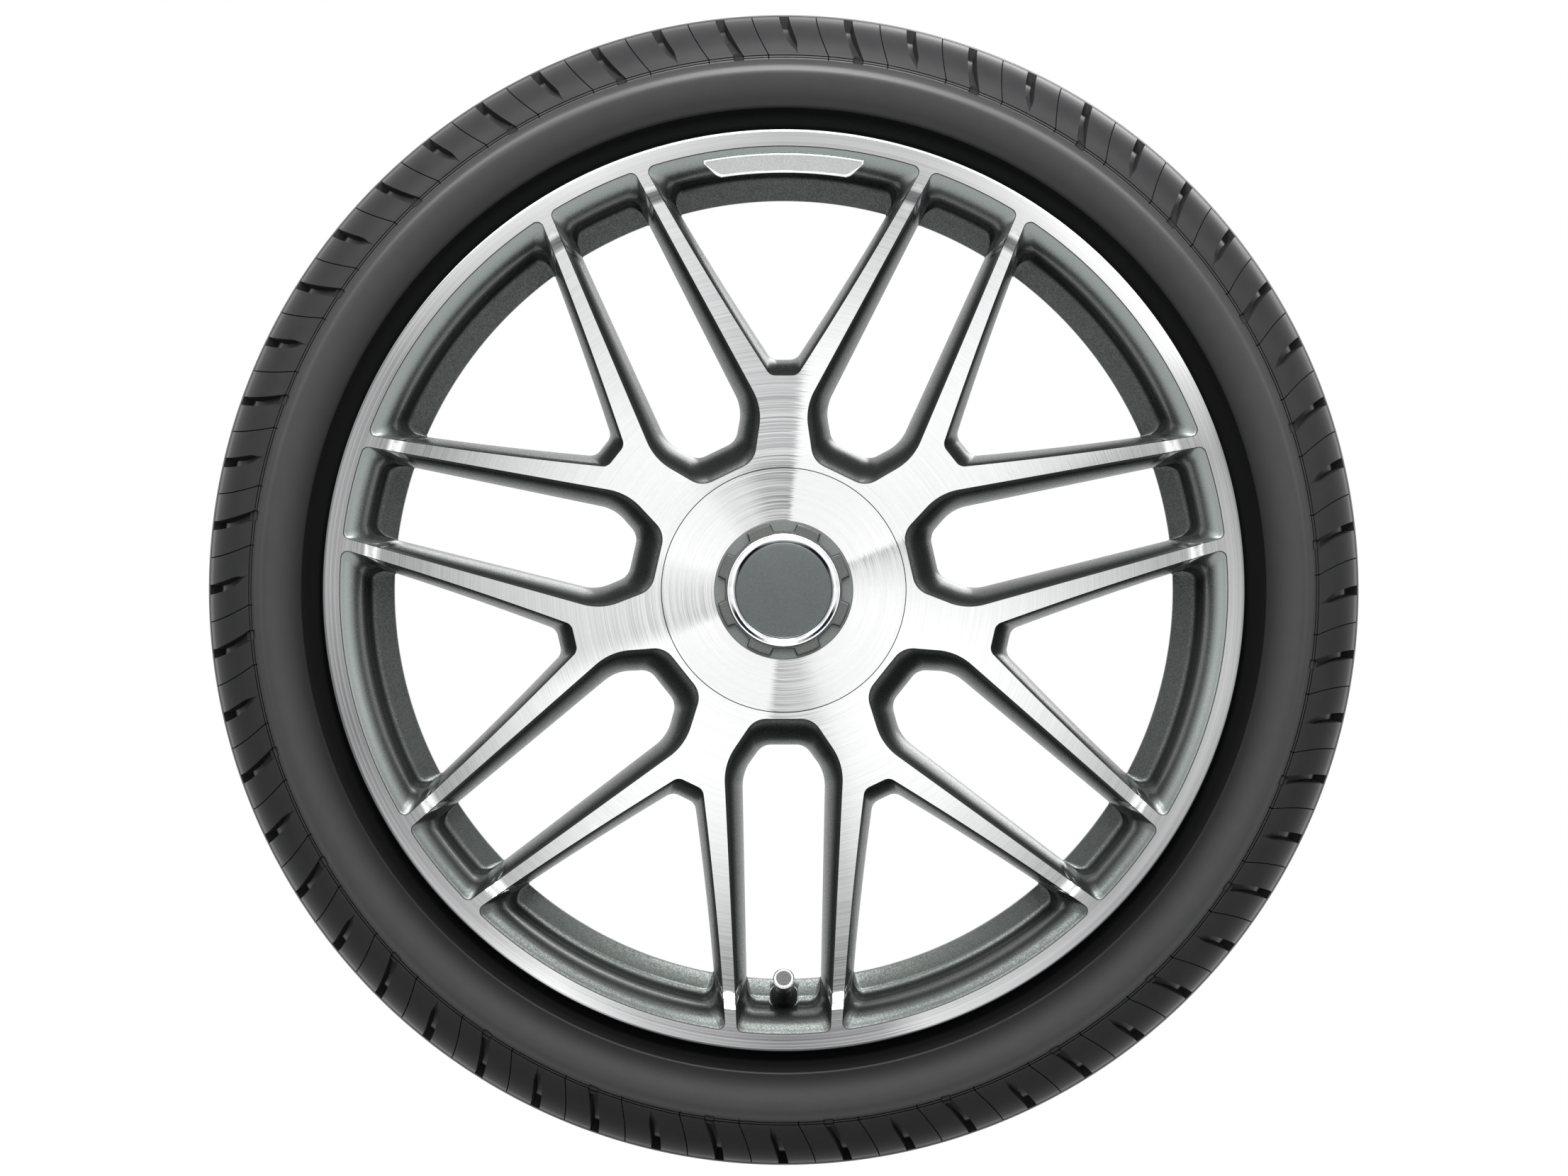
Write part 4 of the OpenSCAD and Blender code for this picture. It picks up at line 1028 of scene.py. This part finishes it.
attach(tyre, "wheel")
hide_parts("tyre")

# %% [markdown]
# ## The hub cover and what it carries
#
# The cover hides the wheel bolts. Its face carries on the turned face of the wheel, with a hairline
# seam between them, so both share one finish whose lines and painted reflections follow from the
# distance and the direction from the axle. The dark ring on it has eight notches with leaning sides.

# %% Cover and centre pieces
COVER_Z = 92.05
SEAT_Z = COVER_Z + 2.4
NUT_R, NUT_WALL, NUT_STEP, NUT_H, NOTCH_W, NOTCH_DEPTH, NOTCHES = 41.2, 39.9, 1.8, 5.2, 16.0, 5.3, 8
BEZEL_R, BEZEL_IN = 33.4, 28.6
graphite = painted_finish("graphite ring", (0.13, 0.137, 0.13), (0.06, 0.065, 0.061), 0.55, 0.42, 2600.0)
# Painted light makes the notch floors lighter, and painted shade makes the notch walls near-black
notch_floor_painted_light = painted_finish("notch floor with painted light", (0.2, 0.215, 0.21), (0.12, 0.132, 0.13), 0.6, 0.38, 2600.0)
shadow_gap = painted_finish("notch wall with painted shade", (0.03, 0.032, 0.031), (0.015, 0.016, 0.016), 0.2, 0.5)
disc_paint = painted_finish(
    "disc lacquer", (0.14, 0.153, 0.155), (0.07, 0.079, 0.081), 0.75, 0.3, 3000.0, Coat_Weight=0.2
)
chrome, chrome_tree, chrome_shader = new_finish("bright chrome", (0.88, 0.89, 0.9), 1.0, 0.07)
# Painted reflections of a dark studio darken the bezel in four crescents: two inside above, and two outside
# below
spot = use_group(chrome_tree, axle_place)
sides = between(chrome_tree, spot.outputs["Side"], 0.12, 0.6)
spot_r, spot_up = spot.outputs["Radius"], spot.outputs["Up"]
inner = between(chrome_tree, spot_r, 0.0304, 0.0296)
inner = times(chrome_tree, inner, between(chrome_tree, spot_up, 0.2, 0.5))
outer = between(chrome_tree, spot_r, 0.0303, 0.031)
outer = times(chrome_tree, outer, between(chrome_tree, spot_r, 0.0325, 0.0323))
outer = times(chrome_tree, outer, between(chrome_tree, spot_up, -0.15, -0.45))
painted_dark_reflections = times(chrome_tree, plus(chrome_tree, inner, outer), sides)
tint(chrome_tree, chrome_shader, painted_dark_reflections, (0.88, 0.89, 0.9), (0.012, 0.016, 0.022))
nodes["hub_cover"].data.materials.clear()
nodes["hub_cover"].data.materials.append(turned_alloy)


def notch_outline(inset):
    """The castellated body's outline, set back by inset."""
    outline, wall = [], NUT_WALL - inset
    floor_r = NUT_WALL - NOTCH_DEPTH - inset * 0.4
    floor_w, mouth_w = NOTCH_W * 0.37 + inset * 0.8, NOTCH_W / 2 + inset * 0.8
    for k in range(NOTCHES):
        middle = 90 - 360 / NOTCHES * k
        mouth = math.degrees(math.asin(mouth_w / wall))
        step = 360 / NOTCHES
        mouth_r = math.sqrt(wall**2 - mouth_w**2)
        for dx, dy in ((-mouth_w, mouth_r), (-floor_w, floor_r), (floor_w, floor_r), (mouth_w, mouth_r)):
            outline.append(tuple(turned(vec(dx, dy), middle - 90)))
        for a in np.linspace(middle - mouth, middle - step + mouth, 8)[1:-1]:
            outline.append((wall * math.cos(math.radians(a)), wall * math.sin(math.radians(a))))
    return outline


ring_skin = Skin()
STEP_Z, NUT_TOP = COVER_Z + NUT_STEP, COVER_Z + NUT_H
flange = rings([(NUT_R - 0.3, COVER_Z), (NUT_R, COVER_Z + 0.3), (NUT_R, STEP_Z - 0.4), (NUT_R - 0.4, STEP_Z)])
ring_skin.bands(flange)
levels = ((0.0, STEP_Z), (0.35, NUT_TOP - 0.9), (0.6, NUT_TOP - 0.35), (1.0, NUT_TOP))
body = [[(x, y, z) for x, y in notch_outline(inset)] for inset, z in levels]
ring_skin.region([flange[-1], body[0]], lambda r: STEP_Z, 1)
ring_skin.bands(body[:3], 2)
ring_skin.band(body[2], body[3])
inner = rings([(BEZEL_R + 0.5, NUT_TOP), (BEZEL_R + 0.1, NUT_TOP - 0.4), (BEZEL_R + 0.1, SEAT_Z)])
ring_skin.region([body[-1], inner[0]], lambda r: NUT_TOP)
ring_skin.bands(inner)
stem = rings([(24, COVER_Z + 0.4), (24, COVER_Z - 7), (27, COVER_Z - 7), (27, COVER_Z)])
ring_skin.bands([*stem, flange[0]])
ring_skin.region([inner[-1]], lambda r: SEAT_Z)
ring_skin.region([stem[0]], lambda r: COVER_Z + 0.4)
castle = ring_skin.piece("castellated_centre", [graphite, notch_floor_painted_light, shadow_gap], 25)
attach(castle, "cover")
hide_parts("castellated_ring")

# %% The bezel and the disc
bezel_top = SEAT_Z + 4.4
bezel_profile = [
    (BEZEL_IN, SEAT_Z),
    (BEZEL_R, SEAT_Z),
    (BEZEL_R, bezel_top - 0.7),
    *arc(BEZEL_R - 0.45, bezel_top - 0.7, 0.45, 20, 160, 6),
    (BEZEL_R - 0.95, bezel_top - 1.5),
    (BEZEL_R - 1.2, bezel_top - 1.5),
    *arc(BEZEL_R - 1.55, bezel_top - 0.75, 0.35, 0, 90, 5),
    *curve([
        (BEZEL_R - 1.7, bezel_top - 0.42), (BEZEL_R - 2.6, bezel_top - 0.6),
        (BEZEL_IN + 0.9, bezel_top - 1.6), (BEZEL_IN + 0.15, SEAT_Z + 1.75),
    ], 10),
    (BEZEL_IN, SEAT_Z + 1.4),
]
BEZEL_STEPS = 256
bezel_skin = Skin()
bezel_skin.bands(rings([*bezel_profile, bezel_profile[0]], BEZEL_STEPS))
bezel = bezel_skin.piece("bright_bezel", [chrome])
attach(bezel, "cover")
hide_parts("bezel_ring")
disc_skin = Skin()
DISC_R = BEZEL_IN - 0.15
disc_profile = [(DISC_R, SEAT_Z), (DISC_R, SEAT_Z + 1.35), (DISC_R - 0.4, SEAT_Z + 1.75)]
for r in np.linspace(DISC_R - 0.8, 1.0, 14):
    disc_profile.append((r, SEAT_Z + 1.8 + 0.95 * (1 - (r / DISC_R) ** 2)))
disc_rings = rings(disc_profile)
disc_skin.bands(disc_rings)
disc_skin.face(disc_rings[-1])
disc_skin.face(disc_rings[0])
disc = disc_skin.piece("plain_disc", [disc_paint], 30)
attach(disc, "cover")
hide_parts("centre_disc")

# %% [markdown]
# ## The valve and the hidden metal
#
# These shapes are right in the CAD, all but the valve's spring, so the nodes stay and only get
# their finishes: a satin nickel cap with a dark insert, black rubber, brass and spring steel.

# %% Finishes of the small CAD nodes
valve_rubber_finish, valve_tree, valve_shader = new_finish("valve rubber", (0.02, 0.02, 0.02), 0.0, 0.45)
valve_bloom = use_group(valve_tree, rubber_bloom, Size=300.0)
tint(valve_tree, valve_shader, valve_bloom.outputs["Tone"], (0.014, 0.014, 0.014), (0.03, 0.03, 0.03))
cap_nickel = painted_finish("satin nickel", (0.62, 0.63, 0.63), (0.5, 0.51, 0.51), 1.0, 0.22, 1800.0)
insert_black = painted_finish("insert black", (0.025, 0.026, 0.027), (0.012, 0.012, 0.013), 0.3, 0.3)
brass = painted_finish("turned brass", (0.72, 0.55, 0.27), (0.6, 0.45, 0.2), 1.0, 0.28, 1500.0)
spring_steel = painted_finish("spring steel", (0.5, 0.51, 0.52), (0.4, 0.41, 0.42), 1.0, 0.32, 1500.0)
SMALL = {
    "valve_rubber": valve_rubber_finish, "valve_stem": brass, "valve_core": brass, "valve_pin": brass,
    "valve_pin_seal": valve_rubber_finish, "valve_cap": cap_nickel,
    "valve_cap_insert": insert_black, "valve_cap_seal": valve_rubber_finish,
    "cover_spring_ring": spring_steel,
}
for name, finish in SMALL.items():
    nodes[name].data.materials.clear()
    nodes[name].data.materials.append(finish)
print("dressed CAD nodes:", len(SMALL) + 1)

# %% [markdown]
# ## The spring inside the valve
#
# The CAD holds the spring as a closed sleeve. Here it becomes a real coil: a round wire swept along
# a helix, from the core's floor up to the collar of the pin.

# %% A coil spring
SPRING_LOW, SPRING_HIGH, COIL_R, WIRE_R, TURNS, PIN_TRAVEL = 17.2, 25.88, 1.275, 0.21, 6, 1.5


def coil():
    """Loops of the wire from the spring's floor to its top."""
    loops, rise = [], SPRING_HIGH - SPRING_LOW - 2 * WIRE_R - 0.02
    steps = TURNS * 20
    for k in range(steps + 1):
        a = 2 * math.pi * TURNS * k / steps
        h = SPRING_LOW + WIRE_R + 0.01 + rise * k / steps
        loop = []
        for b in np.linspace(0, 2 * math.pi, 8, endpoint=False):
            r = COIL_R + WIRE_R * math.cos(b)
            loop.append((r * math.cos(a), r * math.sin(a), h + WIRE_R * math.sin(b)))
        loops.append(loop)
    return loops


spring_skin = Skin()
coil_loops = [on_valve(loop) for loop in coil()]
spring_skin.bands(coil_loops)
spring_skin.face(coil_loops[0])
spring_skin.face(coil_loops[-1])
spring = spring_skin.piece("coil_spring", [spring_steel], 40)
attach(spring, "wheel")
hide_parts("valve_spring")
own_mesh(spring)

# %% [markdown]
# ## Floor, light and camera
#
# The photograph is a catalogue view: square on, with no perspective to speak of, on plain white.
# An orthographic camera gives that. A half ring of seven soft lamps lights the wheel, strongest
# above, with one high in front and one behind. The floor and the world are pale to the camera and
# in reflections. As lights they are dim, so that little comes back up at the tyre.


# %% The floor
def seen_by_camera(tree):
    """1 where the camera sees a surface, also through glass or in a reflection, and 0 as a light."""
    path = wire(tree, "LightPath")
    seen = maths(tree, "MAXIMUM", path.outputs["Is Camera Ray"], path.outputs["Is Transmission Ray"])
    return maths(tree, "MAXIMUM", seen, path.outputs["Is Glossy Ray"])


floor_mesh = bpy.data.meshes.new("floor")
FLOOR_Z = -TYRE_R / 1000 - 0.0003
FLOOR_HALF = 9
corners = [(x * FLOOR_HALF, y * FLOOR_HALF, FLOOR_Z) for x, y in ((-1, -1), (1, -1), (1, 1), (-1, 1))]
floor_mesh.from_pydata(corners, [], [(0, 1, 2, 3)])
floor = bpy.data.objects.new("floor", floor_mesh)
bpy.context.scene.collection.objects.link(floor)
floor_finish, floor_tree, floor_shader = new_finish(
    "pale floor", (0.4, 0.4, 0.4), 0.0, 0.9, Emission_Strength=0.6
)
seen = seen_by_camera(floor_tree)
tint(floor_tree, floor_shader, seen, (0.2, 0.2, 0.2), (0.4, 0.4, 0.4))
tint(floor_tree, floor_shader, seen, (0.0, 0.0, 0.0), (1.0, 1.0, 1.0), "Emission Color")
floor_mesh.materials.append(floor_finish)

# %% The lamps
def soft_lamp(name, place, size, power):
    """A large square lamp that looks at the wheel's centre."""
    data = bpy.data.lights.new(name, "AREA")
    data.shape, data.size, data.energy = "SQUARE", size, power
    made = bpy.data.objects.new(name, data)
    made.location = place
    made.rotation_euler = (-Vector(place)).to_track_quat("-Z", "Y").to_euler()
    bpy.context.scene.collection.objects.link(made)


# The half ring stands about 60 degrees off the axle; the lamps above are the strongest
LAMPS, RING_FROM, RING_TURN, RING_OUT, RING_FRONT = 7, -10, 200, 1.45, 0.85
for k in range(LAMPS):
    around = math.radians(RING_FROM + RING_TURN * k / (LAMPS - 1))
    height = math.sin(around)
    place = (RING_OUT * math.cos(around), -RING_FRONT, RING_OUT * height)
    soft_lamp(f"lamp {k}", place, 0.7, 1.0 + 15 * max(height, 0) ** 3)
soft_lamp("lamp in front", (0.1, -2.75, 2.0), 1.0, 60)
soft_lamp("lamp behind", (0.9, 2.6, 1.5), 1.6, 20)

# %% The world
world = bpy.data.worlds.new("studio")
bpy.context.scene.world = world
world.use_nodes = True
sky = world.node_tree
sky.nodes.clear()
seen = seen_by_camera(sky)
dim = wire(sky, "Background", {"Color": (0.9, 0.94, 1.0, 1), "Strength": 0.15})
white = wire(sky, "Background", {"Color": (1, 1, 1, 1), "Strength": 1.0})
blend = wire(sky, "MixShader", {0: seen, 1: dim.outputs[0], 2: white.outputs[0]})
wire(sky, "OutputWorld", {0: blend.outputs[0]})

# %% The camera
MM_PER_PIXEL, IMAGE_W, IMAGE_H = 0.4198, 2212, 1659
CENTRE_X, CENTRE_Y = 1105.6, 832.4
camera_data = bpy.data.cameras.new("camera")
camera_data.type = "ORTHO"
camera_data.ortho_scale = IMAGE_W * MM_PER_PIXEL / 1000
camera_data.clip_end = 50
camera = bpy.data.objects.new("camera", camera_data)
camera.location = (
    (IMAGE_W / 2 - CENTRE_X) * MM_PER_PIXEL / 1000,
    -4.0,
    (CENTRE_Y - IMAGE_H / 2) * MM_PER_PIXEL / 1000,
)
camera.rotation_euler = (math.pi / 2, 0, 0)
bpy.context.scene.collection.objects.link(camera)
bpy.context.scene.camera = camera
bpy.context.scene.view_settings.view_transform = "Standard"
print("camera at", [round(c, 4) for c in camera.location])
